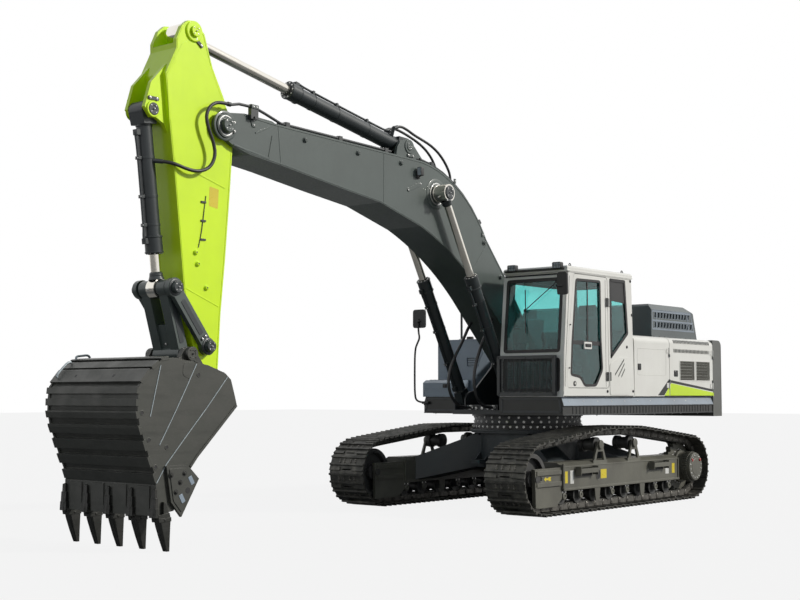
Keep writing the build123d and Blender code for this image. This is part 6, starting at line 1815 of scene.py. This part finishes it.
def makeTeeth(s):
    tooth = bmesh.new()
    for y in s["teeth"]:
        # point: four sections from the adapter's nose down to the chisel edge
        levels = ((.3, 7.3, 7.44, .05), (.25, 7.302, 7.425, .0495), (.12, 7.3, 7.378, .041),
            (0.0, 7.294, 7.33, .03))
        rings = []
        for z, rear, front, half in levels:
            chamfer = (front - rear) * .14
            rings.append([tooth.verts.new(p) for p in ((rear, y - half, z), (front - chamfer, y - half, z),
                (front, y - half + chamfer, z), (front, y + half - chamfer, z), (front - chamfer, y + half, z),
                (rear, y + half, z))])
        tooth.faces.new(rings[0])
        tooth.faces.new(rings[-1][::-1])
        for above, below in zip(rings, rings[1:]):
            for i in range(6):
                tooth.faces.new((above[i - 1], above[i], below[i], below[i - 1]))
        # adapter: nose collar, the wedge up the lip and its centre rib, pin ends
        addPrism(tooth, [(7.294, .29), (7.446, .285), (7.454, .325), (7.296, .33)], y - .055, y + .055)
        for low, high, half in ((.33, .42, .05), (.41, .52, .04), (.51, .6, .026)):
            reach = .032 * (1 - (low - .33) * 1.6)
            top = .032 * (1 - (high - .33) * 1.6)
            addPrism(tooth, [(7.452, low), (7.458 + reach, low), (7.458 + max(top, .006), high), (7.452, high)],
                y - half, y + half)
        addPrism(tooth, [(7.458, .31), (7.494, .335), (7.474, .6), (7.458, .61)], y - .012, y + .012)
        addPrism(tooth, [(7.3, .33), (7.45, .325), (7.45, .356), (7.31, .374)], y - .048, y + .048)
        addPrism(tooth, [(7.305, .34), (7.385, .34), (7.384, .48), (7.36, .47)], y - .045, y + .045)
        for side in (-1, 1):
            addTurned(tooth, (7.375, y + side * .054, .308), side, [(0, .014), (.004, .014), (.006, .01)], 16)
    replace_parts(finishPiece(tooth, "toothSet", "toothSteel", "bucket", "bucket_brown", .003, 2), "bucket_teeth")


makeBucket(bucket)
makeTeeth(bucket)
print("arm and bucket dressed")

studio = {"sky": .32, "sunPower": 2.75, "sunSide": (-.55, .78, .55), "sunSpread": 5, "floorWhite": .87}


def makeStudio(s):
    world = bpy.data.worlds.new("sky")
    scene.world = world
    world.use_nodes = True
    tree = world.node_tree
    sky = feed(tree, tree.nodes["Background"], {"Color": (.8, .9, 1), "Strength": s["sky"]})
    white = addNode(tree, "Background", {"Color": (1, 1, 1), "Strength": 1})
    ray = addNode(tree, "LightPath", {}).outputs
    seen = ray["Is Camera Ray"]
    for other in ("Is Glossy Ray", "Is Transmission Ray"):
        seen = calculate(tree, "MAXIMUM", seen, ray[other])
    mix = addNode(tree, "MixShader", {"Fac": seen, 1: sky.outputs[0], 2: white.outputs[0]})
    feed(tree, tree.nodes["World Output"], {"Surface": mix.outputs[0]})
    lamp = bpy.data.lights.new("sun", "SUN")
    lamp.energy = s["sunPower"]
    lamp.color = (1, .965, .9)
    lamp.angle = radians(s["sunSpread"])
    sun = bpy.data.objects.new("sun", lamp)
    sun.rotation_euler = Vector(s["sunSide"]).to_track_quat("Z", "Y").to_euler()
    scene.collection.objects.link(sun)
    mesh = bpy.data.meshes.new("floor")
    mesh.from_pydata([(-90, -90, 0), (90, -90, 0), (90, 90, 0), (-90, 90, 0)], [], [(0, 1, 2, 3)])
    floor = bpy.data.objects.new("floor", mesh)
    scene.collection.objects.link(floor)
    floor.location.z = -.002
    tree, shader, place = nodeTree("floorPaint")
    feed(tree, shader, {"Base Color": (.22, .22, .22), "Roughness": .9})
    glow = addNode(tree, "Emission", {"Strength": 1})
    ray = addNode(tree, "LightPath", {}).outputs
    part = calculate(tree, "MULTIPLY", ray["Is Camera Ray"], s["floorWhite"])
    mix = addNode(tree, "MixShader", {"Fac": part, 1: shader.outputs[0], 2: glow.outputs[0]})
    feed(tree, tree.nodes["Material Output"], {"Surface": mix.outputs[0]})
    mesh.materials.append(finishes["floorPaint"])


makeStudio(studio)
